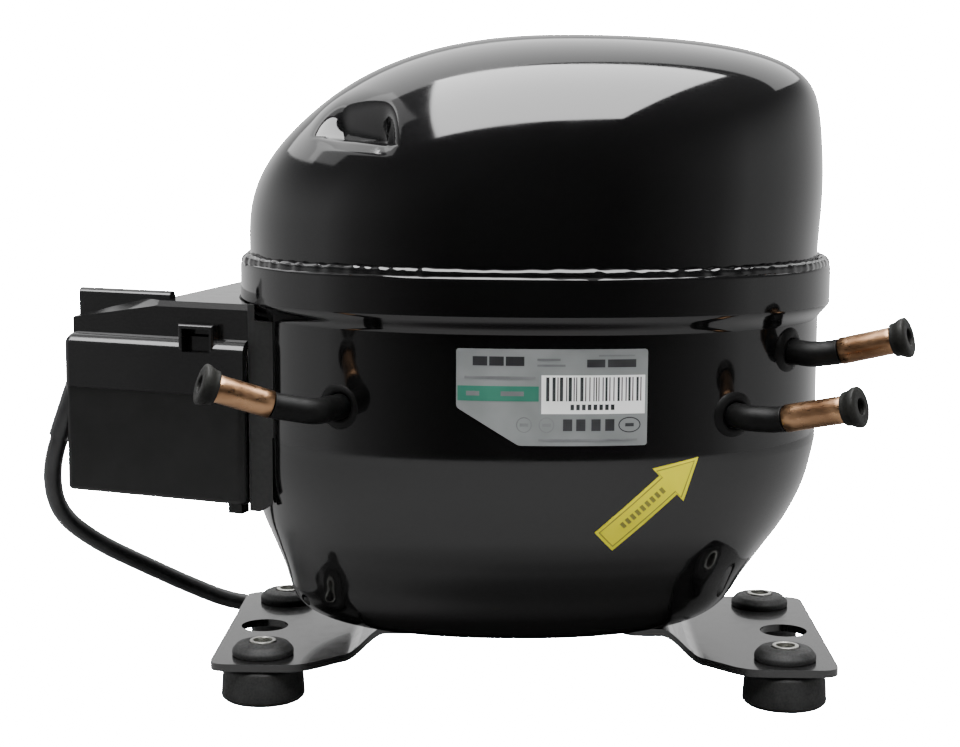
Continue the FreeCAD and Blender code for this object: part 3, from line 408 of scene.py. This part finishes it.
def soften(obj, width, angle=35.0):
    """Round by width (mm) the edges sharper than angle (degrees)."""
    bevel = obj.modifiers.new("bevel", "BEVEL")
    bevel.width, bevel.segments = width * MM, 3
    bevel.limit_method, bevel.angle_limit = "ANGLE", math.radians(angle)
    bevel.harden_normals = True


def rings_to_mesh(name, rings, closed_ends=False, loop=False):
    """Skin a list of equal closed rings of points."""
    count = len(rings[0])
    points = [p for ring in rings for p in ring]
    faces = []
    spans = len(rings) if loop else len(rings) - 1
    for i in range(spans):
        a, b = i * count, ((i + 1) % len(rings)) * count
        for j in range(count):
            k = (j + 1) % count
            faces.append((a + j, a + k, b + k, b + j))
    if closed_ends:
        faces.append(tuple(range(count)))
        faces.append(tuple(range(len(points) - count, len(points))))
    return mesh_object(name, points, faces)


def circle(x, y, radius, segments, flat=1.0):
    """Points of a ring about x and y; flat squashes it along x."""
    angles = [ROUND * j / segments for j in range(segments)]
    return [(x + radius * flat * math.cos(angle), y + radius * math.sin(angle)) for angle in angles]


def lathe(name, profile, places, segments=64):
    """Closed (radius, height) outline turned about Z, repeated at each placing matrix (mm)."""
    points, faces = [], []
    count = len(profile)
    for place in places:
        start = len(points)
        for r, z in profile:
            points += [place @ Vector((x, y, z)) for x, y in circle(0, 0, r, segments)]
        for i in range(count):
            a, b = start + i * segments, start + ((i + 1) % count) * segments
            for j in range(segments):
                k = (j + 1) % segments
                faces.append((a + j, a + k, b + k, b + j))
    return mesh_object(name, points, faces)


def round_profile(profile, radius, steps=4):
    """Round the corners of a closed flat outline."""
    out = []
    count = len(profile)
    for i in range(count):
        here = Vector(profile[i])
        back, ahead = Vector(profile[i - 1]) - here, Vector(profile[(i + 1) % count]) - here
        trim = min(radius, back.length * 0.45, ahead.length * 0.45)
        a, b = here + back.normalized() * trim, here + ahead.normalized() * trim
        for k in range(steps + 1):
            t = k / steps
            out.append(tuple(a * (1 - t) ** 2 + here * 2 * t * (1 - t) + b * t ** 2))
    return out


def bend_line(points, radii):
    """Points along straight runs joined by arcs."""
    steps = 8
    line = [points[0]]
    for i, r in enumerate(radii):
        here = points[i + 1]
        back, ahead = (points[i] - here).normalized(), (points[i + 2] - here).normalized()
        half = back.angle(ahead) / 2
        trim = r / math.tan(half)
        centre = here + (back + ahead).normalized() * (r / math.sin(half))
        a, b = here + back * trim - centre, here + ahead * trim - centre
        for k in range(steps + 1):
            line.append(centre + r * a.normalized().slerp(b.normalized(), k / steps))
    line.append(points[-1])
    return line


def sweep_rings(line, radius_at):
    """Circles of changing radius along a line of points."""
    segments = 28
    angles = [ROUND * j / segments for j in range(segments)]
    rings = []
    side = None
    for i, p in enumerate(line):
        ahead = (line[min(i + 1, len(line) - 1)] - line[max(i - 1, 0)]).normalized()
        if side is None:
            side = ahead.orthogonal().normalized()
        side = (side - ahead * side.dot(ahead)).normalized()
        other, r = ahead.cross(side), radius_at(i)
        rings.append([p + side * (r * math.cos(angle)) + other * (r * math.sin(angle)) for angle in angles])
    return rings


def tube(name, line, outer, inner):
    """Open tube with a rounded rim at each end."""
    lip = 0.35
    first, last = (line[1] - line[0]).normalized(), (line[-1] - line[-2]).normalized()
    skin = [line[0], line[0] + first * lip, *line[1:-1], line[-1] - last * lip, line[-1]]
    outside = sweep_rings(skin, lambda i: outer - (lip if i in (0, len(skin) - 1) else 0))
    inside = sweep_rings(skin, lambda i: inner)
    return rings_to_mesh(name, outside + inside[::-1], loop=True)


def aimed(place, aim):
    """Matrix that puts Z along aim at place."""
    turn = Vector(aim).normalized().to_track_quat("Z", "Y").to_matrix().to_4x4()
    return Matrix.Translation(Vector(place)) @ turn


# ------------------------------------------------------------------ shell

def power(value, exponent):
    """Power that keeps the value's sign."""
    return math.copysign(abs(value) ** exponent, value)


def oval_point(t, z, centre, a, b):
    """Point at angle t of the shell's rounded plan, with half length a and half depth b."""
    return (centre + a * power(math.cos(t), 2 / PLAN_POWER), b * power(math.sin(t), 2 / PLAN_POWER), z)


def oval_y(x, a=WALL_A, b=WALL_B, centre=SHELL_X):
    """Half depth of the plan at x."""
    return b * max(0.0, 1 - abs((x - centre) / a) ** PLAN_POWER) ** (1 / PLAN_POWER)


def reach(z, base, rise, draw):
    """Share of its full length that the dome still has at height z."""
    up = min(1.0, max(0.0, (z - base) / (TOP_Z - base)))
    return (1 - up ** rise) ** (1 / draw)


def dome_section(z):
    """Centre, half length and half depth of the upper shell at height z."""
    swell = max(0.0, 1 - ((z - SWELL_Z) / SWELL_HALF) ** 2) ** 2
    left = APEX_X - (APEX_X - DOME_LEFT) * reach(z, *LEFT_CURVE) - SWELL_LEFT * swell
    right = APEX_X + (DOME_RIGHT - APEX_X) * reach(z, *RIGHT_CURVE) + SWELL_RIGHT * swell
    return (left + right) / 2, (right - left) / 2, (WALL_B - 0.05) * reach(z, *FRONT_CURVE)


def smooth(t):
    """Ease from 0 to 1 while t goes from 0 to 1."""
    t = min(1.0, max(0.0, t))
    return t * t * (3 - 2 * t)


def press_dimple(x, y, z):
    """Press a hooded recess into the dome: a chamfered ledge, a floor, and a wall that rises forward."""
    across = x - DIMPLE_X
    up = z - DIMPLE_Z + DIMPLE_TILT * across
    if y > 0 or abs(across) > DIMPLE_HALF or not 0 < up < DIMPLE_HEIGHT:
        return x, y, z
    hood = HOOD_LOW + HOOD_RISE * math.sqrt(max(0.0, 1 - ((across - HOOD_X) / HOOD_HALF) ** 2))
    if up < LEDGE:
        share = LEDGE_SHARE * up / LEDGE
    else:
        share = LEDGE_SHARE + (1 - LEDGE_SHARE) * min(1.0, (up - LEDGE) / LEDGE_STEP)
        share *= 1 - smooth((up - LEDGE - LEDGE_STEP) / hood)
    ends = smooth((across + DIMPLE_HALF) / FADE_LEFT) * smooth((DIMPLE_HALF - 0.5 - across) / FADE_RIGHT)
    return x, y + DIMPLE_DEPTH * ends * share, z


def dome_point(t, z):
    """Point of the dome at angle t: near the dimple the rings lean with its ledge."""
    x, y = oval_point(t, z, *dome_section(z))[:2]
    if y < 0:
        near = smooth(1.6 - abs(x - DIMPLE_X) / 18.0) * smooth(1.6 - abs(z - DIMPLE_Z - 5.0) / 14.0)
        z -= DIMPLE_TILT * (x - DIMPLE_X) * near
        x, y = oval_point(t, z, *dome_section(z))[:2]
    return press_dimple(x, y, z)


def dome_heights():
    """Ring heights of the upper shell, closer together towards the top and on the dimple's ledge."""
    skirt, count, bend = 6, 150, 140.0
    heights = [SKIRT_Z + (bend - SKIRT_Z) * i / skirt for i in range(skirt)]
    heights += [TOP_Z - (TOP_Z - bend) * (1 - i / count) ** 3.0 for i in range(count)]
    heights = [z for z in heights if not DIMPLE_Z - 1.0 < z < DIMPLE_Z + LEDGE + 1.2]
    ledge = (-0.6, 0.0, 0.8, 1.7, 2.6, LEDGE, LEDGE + LEDGE_STEP, LEDGE + 0.9)
    return sorted(heights + [DIMPLE_Z + rise for rise in ledge])


def make_upper_shell(materials):
    """The dome, closed at its apex by a fan of faces."""
    segments = SHELL_SEGMENTS
    rings = [[dome_point(ROUND * j / segments, z) for j in range(segments)] for z in dome_heights()]
    shell = rings_to_mesh("upper_shell_skin", rings)
    work = bmesh.new()
    work.from_mesh(shell.data)
    work.verts.ensure_lookup_table()
    rim = [work.verts[(len(rings) - 1) * segments + j] for j in range(segments)]
    pole = work.verts.new(Vector((APEX_X, 0, TOP_Z)) * MM)
    for j in range(segments):
        work.faces.new((rim[j], rim[(j + 1) % segments], pole)).smooth = True
    bmesh.ops.recalc_face_normals(work, faces=work.faces)
    work.to_mesh(shell.data)
    work.free()
    thick = shell.modifiers.new("sheet", "SOLIDIFY")
    thick.thickness, thick.offset = SHEET_UPPER * MM, -1
    settle(shell).data.set_sharp_from_angle(angle=math.radians(38))
    dress(shell, materials["shell"], ["upper_shell"])


def spline_through(points, steps):
    """Catmull-Rom points through a short outline."""
    out = []
    padded = [points[0], *points, points[-1]]
    for i in range(1, len(padded) - 2):
        p0, p1, p2, p3 = (Vector(q) for q in padded[i - 1:i + 3])
        for k in range(steps):
            t = k / steps
            out.append(0.5 * ((2 * p1) + (p2 - p0) * t + (2 * p0 - 5 * p1 + 4 * p2 - p3) * t * t
                              + (3 * p1 - p0 - 3 * p2 + p3) * t ** 3))
    out.append(Vector(points[-1]))
    return out


def lower_outline():
    """(height, half length, half depth, centre) from the bottom's middle to the lip's inner edge."""
    ratio, depth, steps = WALL_B / WALL_A, BOWL_Z - BOTTOM_Z, 14
    flare_low, flare_high = STEP_Z0 - 1.0, STEP_Z1 + 1.0
    outline = []
    for z, a in spline_through([(BOTTOM_Z, 0.5), (BOTTOM_Z, 20.0), (BOTTOM_Z, 42.0)] + BOWL, 10):
        lift = min(1.0, max(0.0, (z - BOTTOM_Z) / depth))
        outline.append((z, a, a * ratio, SHELL_X - BOTTOM_SHIFT * (1 - lift) ** SHIFT_POWER))
    for i in range(1, steps + 1):
        outline.append((BOWL_Z + (flare_low - BOWL_Z) * i / steps, WALL_A, WALL_B, SHELL_X))
    for i in range(1, steps + 1):
        t = i / steps
        outline.append((flare_low + (flare_high - flare_low) * t, WALL_A + (LIP_A - WALL_A) * smooth(t),
                        WALL_B + (LIP_B - WALL_B) * smooth(t), SHELL_X))
    for z in (132.0, 136.0, 139.0):
        outline.append((z, LIP_A, LIP_B, SHELL_X))
    for i in range(7):
        t = math.pi / 2 * i / 6
        inset, top = LIP_ROUND * (1 - math.cos(t)), SEAM_Z - LIP_ROUND + LIP_ROUND * math.sin(t)
        outline.append((top, LIP_A - inset, LIP_B - inset, SHELL_X))
    return outline


def make_lower_shell(materials):
    """The bowl, its wall and its flared lip."""
    segments = SHELL_SEGMENTS
    rings = [[oval_point(ROUND * j / segments, z, centre, a, b) for j in range(segments)]
             for z, a, b, centre in lower_outline()]
    shell = rings_to_mesh("lower_shell_skin", rings)
    work = bmesh.new()
    work.from_mesh(shell.data)
    work.verts.ensure_lookup_table()
    work.faces.new([work.verts[j] for j in range(segments)]).smooth = True
    bmesh.ops.recalc_face_normals(work, faces=work.faces)
    work.to_mesh(shell.data)
    work.free()
    thick = shell.modifiers.new("sheet", "SOLIDIFY")
    thick.thickness, thick.offset = SHEET_LOWER * MM, -1
    dress(settle(shell), materials["shell"], ["lower_shell"])


def make_weld_bead(materials):
    """Uneven bead on top of the lip, against the upper shell."""
    steps, around = 1080, 12
    chance = random.Random(7)

    def waves(count, fewest, most, low, high):
        """Random (turns, phase, size) of waves that run round the shell."""
        return [(chance.randint(fewest, most), chance.uniform(0, 6.28), chance.uniform(low, high))
                for _ in range(count)]

    def height(parts, t):
        """Height of the waves at angle t."""
        return sum(size * math.sin(turns * t + phase) for turns, phase, size in parts)

    swells, ripples = waves(7, 7, 31, 0.10, 0.32), waves(6, 47, 139, 0.08, 0.22)
    rings = []
    for i in range(steps):
        t = ROUND * i / steps
        shift = 0.2 * height(swells, t)
        size = 1.9 + 0.3 * height(swells, t) + 0.3 * height(ripples, t)
        middle = Vector(oval_point(t, SEAM_Z + 0.2, SHELL_X, WALL_A + 1.5 + shift, WALL_B + 1.3 + shift))
        out = Vector((math.cos(t), math.sin(t) * WALL_A / WALL_B, 0)).normalized()
        ring = []
        for k in range(around):
            angle = ROUND * k / around
            rise = Vector((0, 0, size * 1.1 * math.sin(angle)))
            ring.append(middle + out * (size * 0.95 * math.cos(angle)) + rise)
        rings.append(ring)
    bead = rings_to_mesh("weld_bead_skin", rings, loop=True)
    dress(bead, materials["shell"], ["weld_bead"])


# ------------------------------------------------------------------ tube ends

def make_tube_ends(materials):
    """Each tube: a bent steel stub, a collar where it leaves the shell, a copper end and a plug."""
    stubs, coppers, collars = [], [], []
    for name, (points, radii) in TUBES.items():
        points = [Vector(p) for p in points]
        aim = (points[3] - points[2]).normalized()
        trim = radii[1] * math.tan(aim.angle(points[2] - points[1]) / 2)
        joint = points[2] + aim * (trim + 0.2)
        line = bend_line(points[:3] + [joint], radii)
        stubs.append(tube(name + "_stub", line, TUBE_R, TUBE_BORE))
        straight = [joint + (points[3] - joint) * (i / 6) for i in range(7)]
        coppers.append(tube(name + "_copper", straight, TUBE_R + 0.25, TUBE_BORE))
        first = (points[1] - points[0]).normalized()
        wall, step = points[0], 0.0
        while abs(wall.y) < oval_y(wall.x):
            step += 0.1
            wall = points[0] + first * step
        collars.append(lathe(name + "_collar", round_profile(COLLAR, 0.8), [aimed(wall, first)]))
        cap = lathe(name + "_plug_skin", round_profile(PLUG, 0.5), [aimed(points[3], aim)])
        dress(cap, materials["cap"], [name + "_plug"], name + "_cap")
    for pieces, finish, slot, node in ((stubs, "stub", "shell_paint", "steel_stubs"),
                                       (coppers, "copper", "copper", "copper_tubes"),
                                       (collars, "stub", "shell_paint", "tube_collars")):
        for piece in pieces:
            dress(piece, materials[finish], [node])


# ------------------------------------------------------------------ feet

def prism(name, outline, low, high):
    """Upright block over an XY outline."""
    count = len(outline)
    points = [(x, y, low) for x, y in outline] + [(x, y, high) for x, y in outline]
    faces = [tuple(range(count)), tuple(range(count, 2 * count))]
    faces += [(j, (j + 1) % count, count + (j + 1) % count, count + j) for j in range(count)]
    return mesh_object(name, points, faces, shade_smooth=False)


def plate_top(x):
    """Height of the bracket's upper face."""
    return PLATE_TOP + (TAB_TOP - PLATE_TOP) * smooth((58.5 - x) / 13.5)


def make_foot(side, materials):
    """Bracket under one end of the shell, cut to its outline from a strip that steps up to the shell."""
    name = "right" if side > 0 else "left"
    start, step, count, wide = 31, 0.75, 97, 60
    rings = []
    for i in range(count):
        x = start + step * i
        top = plate_top(x)
        rings.append([(side * x, y, z) for y, z in ((-wide, top), (wide, top), (wide, top - PLATE_T),
                                                    (-wide, top - PLATE_T))])
    strip = rings_to_mesh(name + "_foot_skin", rings, closed_ends=True)
    outline = round_profile([(side * x, y) for x, y in FOOT], 6.0, 6)
    carve(strip, prism("outline", outline, 0, 40), "INTERSECT")
    for x, y in ((FOOT_X, -FOOT_Y), (FOOT_X, FOOT_Y), (SPARE_HOLE_X, 0)):
        carve(strip, prism("hole", circle(side * x, y, FOOT_HOLE_R, 64), 0, 40))
    for face in strip.data.polygons:
        face.use_smooth = True
    soften(strip, 0.5)
    dress(strip, materials["foot"], [name + "_foot_bracket"])


def make_grommets(materials):
    """A rubber grommet with a steel sleeve in each corner hole."""
    places = [Matrix.Translation((sx * FOOT_X, sy * FOOT_Y, 0)) for sx in (-1, 1) for sy in (-1, 1)]
    bore, neck, top, body, low = SLEEVE_R + 0.07, FOOT_HOLE_R - 0.2, 10.0, 13.7, PLATE_TOP - PLATE_T
    outline = [(bore, 0), (body - 1.2, 0), (body, 1.2), (body - 0.6, low - 1.4), (body - 2.0, low),
               (neck, low), (neck, PLATE_TOP), (top, PLATE_TOP), (top, PLATE_TOP + 1.8),
               (top - 1.6, PLATE_TOP + 3.6), (5.8, PLATE_TOP + 4.2), (bore, PLATE_TOP + 4.2)]
    grommets = lathe("grommet_skins", round_profile(outline, 0.5), places, 72)
    dress(grommets, materials["rubber"], ["rubber_grommets"])
    sleeve = [(BOLT_R, 0), (SLEEVE_R, 0), (SLEEVE_R, SLEEVE_H), (BOLT_R, SLEEVE_H)]
    sleeves = lathe("sleeve_skins", round_profile(sleeve, 0.25), places, 48)
    dress(sleeves, materials["zinc"], ["grommet_sleeves"])


# ------------------------------------------------------------------ labels

def front_y(x, z, lift):
    """Front of the lower shell at x and z, lift outwards."""
    a, b, centre = WALL_A, WALL_B, SHELL_X
    if z < BOWL_Z:
        outline = lower_outline()
        for low, high in zip(outline, outline[1:]):
            if low[0] <= z < high[0]:
                t = (z - low[0]) / (high[0] - low[0])
                a, b, centre = (low[k] + (high[k] - low[k]) * t for k in (1, 2, 3))
    return -oval_y(x, a + lift, b + lift, centre)


def sticker(name, outline, lift, material, replaces=()):
    """Thin film over an XZ outline, cut into strips and laid on the shell's front wall."""
    work = bmesh.new()
    work.faces.new([work.verts.new((x * MM, 0, z * MM)) for x, z in outline])
    x0, x1 = min(p[0] for p in outline), max(p[0] for p in outline)
    z0, z1 = min(p[1] for p in outline), max(p[1] for p in outline)
    for low, high, normal in ((x0, x1, (1, 0, 0)), (z0, z1, (0, 0, 1))):
        curved = normal[0] or z0 < BOWL_Z
        steps = max(1, int((high - low) / STRIP)) if curved else 1
        for i in range(1, steps):
            at = Vector(normal) * (low + (high - low) * i / steps) * MM
            everything = work.verts[:] + work.edges[:] + work.faces[:]
            bmesh.ops.bisect_plane(work, geom=everything, plane_co=at, plane_no=normal)
    bmesh.ops.triangulate(work, faces=work.faces[:])
    for v in work.verts:
        v.co.y = front_y(v.co.x / MM, v.co.z / MM, lift) * MM
    bmesh.ops.recalc_face_normals(work, faces=work.faces)
    if sum(f.normal.y for f in work.faces) > 0:
        bmesh.ops.reverse_faces(work, faces=work.faces)
    for f in work.faces:
        f.smooth = True
    mesh = bpy.data.meshes.new(name)
    work.to_mesh(mesh)
    work.free()
    film = link(name, mesh)
    thick = film.modifiers.new("film", "SOLIDIFY")
    thick.thickness, thick.offset = FILM_T * MM, -1
    settle(film).data.set_sharp_from_angle(angle=math.radians(40))
    dress(film, material, replaces)


def bar(x0, x1, z0, z1):
    """Rectangular outline."""
    return [(x0, z0), (x1, z0), (x1, z1), (x0, z1)]


def make_rating_label(materials):
    """Silver label with a green band, a plain bar code and plain marks in place of words."""

    def layer(name, outline, lift, key, replaces=()):
        sticker("label_" + name, outline, lift, materials[key], replaces)

    base = [(-21.0, 119.5), (-21.0, 101.5), (-2.0, 90.0), (37.0, 90.0), (37.0, 119.5)]
    layer("base", round_profile(base, 1.0, 6), FILM, "film", ["rating_label"])
    layer("green_band", bar(-20.6, 4.0, 103.6, 108.2), PRINT, "green")
    layer("panel", bar(4.8, 36.2, 99.8, 111.6), PRINT, "white")
    chance = random.Random(11)
    x, count = 6.2, 0
    while x < 35.0:
        width = chance.choice((0.35, 0.35, 0.7, 1.0))
        layer("code_%02d" % count, bar(x, x + width, 103.7, 111.0), OVERPRINT, "ink")
        x += width + chance.choice((0.4, 0.5, 0.9))
        count += 1
    for i in range(8):
        layer("digit_%d" % i, bar(13.6 + 1.75 * i, 14.7 + 1.75 * i, 101.0, 102.7), OVERPRINT, "ink")
    words = [(-16.0, -11.6, 114.4, 117.2), (-11.0, -6.6, 114.4, 117.2), (-6.0, -0.4, 114.4, 117.2),
             (18.5, 24.0, 114.0, 116.4), (24.8, 33.4, 114.0, 116.4)]
    for i, sides in enumerate(words):
        layer("word_%d" % i, bar(*sides), PRINT, "ink")
    lines = [(-18.5, 3.0, 110.4, 111.2), (3.5, 10.5, 116.0, 116.7), (3.5, 12.0, 114.2, 114.9),
             (22.0, 33.0, 117.3, 117.8), (4.0, 34.0, 91.5, 92.2), (-18.0, -14.0, 105.2, 106.6),
             (-7.5, -0.5, 105.2, 106.6)]
    for i, sides in enumerate(lines):
        layer("line_%d" % i, bar(*sides), OVERPRINT, "soft_ink")
    for i, (x, wide, key) in enumerate(((-0.4, 2.4, "soft_ink"), (6.4, 2.4, "soft_ink"), (31.6, 3.4, "ink"))):
        for k, (lift, grow, finish) in enumerate(((PRINT, 0.0, key), (OVERPRINT, -0.35, "film"))):
            high = 2.4 + grow
            layer("mark_%d_%d" % (i, k), circle(x, 96.4, high, 32, (wide + grow) / high), lift, finish)
        layer("mark_bar_%d" % i, bar(x - 1.3, x + 1.3, 95.9, 96.9), TOP_PRINT, key)
    for i, x in enumerate((11.4, 15.4, 20.0, 24.2)):
        layer("block_%d" % i, bar(x, x + 2.8, 94.6, 98.2), PRINT, "ink")


def make_arrow_label(materials):
    """Yellow arrow with an olive outline and a row of olive marks."""
    tail, tip = Vector((24.3, 59.3)), Vector((53.2, 85.5))
    along = (tip - tail).normalized()
    side = Vector((-along.y, along.x))

    def arrow(shrink):
        neck = tip - along * (12.5 - shrink * 0.3)
        start, point = tail + along * shrink, tip - along * shrink * 1.6
        half, wing = side * (4.2 - shrink), side * (7.4 - shrink * 1.4)
        spots = (start + half, neck + half, neck + wing, point, neck - wing, neck - half, start - half)
        return [tuple(p) for p in spots]

    sticker("arrow_base", arrow(0.0), FILM, materials["yellow"], ["arrow_label"])
    sticker("arrow_rule", arrow(0.9), PRINT, materials["olive"])
    sticker("arrow_face", arrow(1.25), OVERPRINT, materials["yellow"])
    for i in range(9):
        at = tail + along * (7.5 + 2.0 * i)
        ahead = at + along * 1.2
        mark = [tuple(p) for p in (at + side, ahead + side, ahead - side, at - side)]
        sticker("arrow_mark_%d" % i, mark, TOP_PRINT, materials["olive"])


# ------------------------------------------------------------------ supply lead

def coil_points():
    """The put-away turns: the outer turn, then the inner one, then a third that climbs onto them."""
    steps = 16
    points = []
    for i in range(1, int(COIL_TURNS * steps) + 1):
        angle, turn = -math.pi / 2 + ROUND * i / steps, i / steps
        r = COIL_MEAN_R + COIL_STEP / 2 * math.cos(math.pi * min(1.0, max(0.0, turn - 0.6) / 0.8))
        if turn > 2.2:
            r = COIL_MEAN_R - COIL_STEP / 2 + COIL_STEP * min(1.0, (turn - 2.2) / 0.8)
        z = LEAD_R + 0.2 + COIL_STEP * min(1.0, max(0.0, turn - 1.5) / 0.7)
        points.append(Vector((COIL_AT[0] + r * math.cos(angle), COIL_AT[1] + r * math.sin(angle), z)))
    return points


def make_lead(materials):
    """The supply lead, with its strain relief, down to the coil on the floor."""
    points = [Vector(p) for p in LEAD_ROUTE]
    route = points + coil_points()
    curve = bpy.data.curves.new("supply_lead_skin", "CURVE")
    curve.dimensions = "3D"
    spline = curve.splines.new("NURBS")
    spline.points.add(len(route) - 1)
    for spot, p in zip(spline.points, route):
        spot.co = (*(p * MM), 1)
    spline.order_u = 3
    spline.use_endpoint_u = True
    curve.resolution_u = 8
    curve.bevel_depth = LEAD_R * MM
    curve.bevel_resolution = 6
    curve.use_fill_caps = True
    lead = link("supply_lead_skin", curve)
    dress(lead, materials["lead"], ["supply_lead", "lead_coil"])
    aim = (points[1] - points[0]).normalized()
    profile = [(LEAD_R + 0.02, -1.5), (LEAD_R + 1.4, -1.5), (LEAD_R + 1.2, 3.0), (LEAD_R + 0.15, 19.5),
               (LEAD_R + 0.02, 19.5)]
    relief = lathe("strain_relief_skin", round_profile(profile, 0.4), [aimed(points[0], aim)])
    dress(relief, materials["lead"], ["lead_strain_relief"])


# ------------------------------------------------------------------ CAD pieces that stay

FINISH = {
    "plastic": ["terminal_lid", "lid_latch"],
    "housing": ["terminal_housing"],
    "bracket": ["terminal_bracket"],
    "zinc": ["hermetic_terminal", "terminal_pins", "earth_screw", "stator_bolts", "head_bolts",
             "spring_seats"],
    "glass": ["terminal_glass"],
    "nylon": ["cluster_block", "cable_clamp", "lead_connector", "spring_guides", "suction_muffler"],
    "phenolic": ["starter_relay", "overload_protector"],
    "lamination": ["stator_core", "rotor_core"],
    "wire": ["stator_windings"],
    "aluminium": ["rotor_end_rings", "cylinder_head"],
    "iron": ["crankcase", "crankshaft", "slider_block"],
    "steel": ["counterweight", "thrust_washer", "oil_pickup", "piston_yoke", "yoke_oil_plug", "valve_plate",
              "discharge_stop", "discharge_muffler"],
    "spring": ["suction_reed", "discharge_reed"],
    "fibre": ["head_gaskets"],
    "copper": ["head_link_tube", "discharge_loop"],
    "lead": ["motor_leads"],
}

# Rounding of the edges that show (mm)
ROUNDING = {"terminal_housing": 0.5, "terminal_lid": 0.5, "lid_latch": 0.5, "terminal_bracket": 0.5,
            "lead_connector": 0.3}


def paint(mesh, material):
    """Give a CAD mesh one finish all over."""
    mesh.materials.clear()
    mesh.materials.append(material)
    for face in mesh.polygons:
        face.material_index = 0


def make_springs(materials):
    """The suspension springs between the shell and the pump, copied from their CAD node with one finish."""
    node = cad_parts["suspension_springs"]
    springs = link("suspension_springs_skin", node.data.copy())
    springs.matrix_world = node.matrix_world
    paint(springs.data, materials["spring"])
    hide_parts("suspension_springs")
    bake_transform(springs)


def finish_cad_nodes(materials):
    """Paint the CAD pieces that stay, and round the edges that show."""
    for key, names in FINISH.items():
        for name in names:
            paint(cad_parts[name].data, materials[key])
    for name, width in ROUNDING.items():
        soften(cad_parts[name], width, angle=28.0)


make_camera()
materials = make_materials()
make_world()
make_lights()
make_floor()
make_lead(materials)
make_upper_shell(materials)
make_lower_shell(materials)
make_weld_bead(materials)
make_tube_ends(materials)
for side in (-1, 1):
    make_foot(side, materials)
make_grommets(materials)
make_rating_label(materials)
make_arrow_label(materials)
make_springs(materials)
finish_cad_nodes(materials)
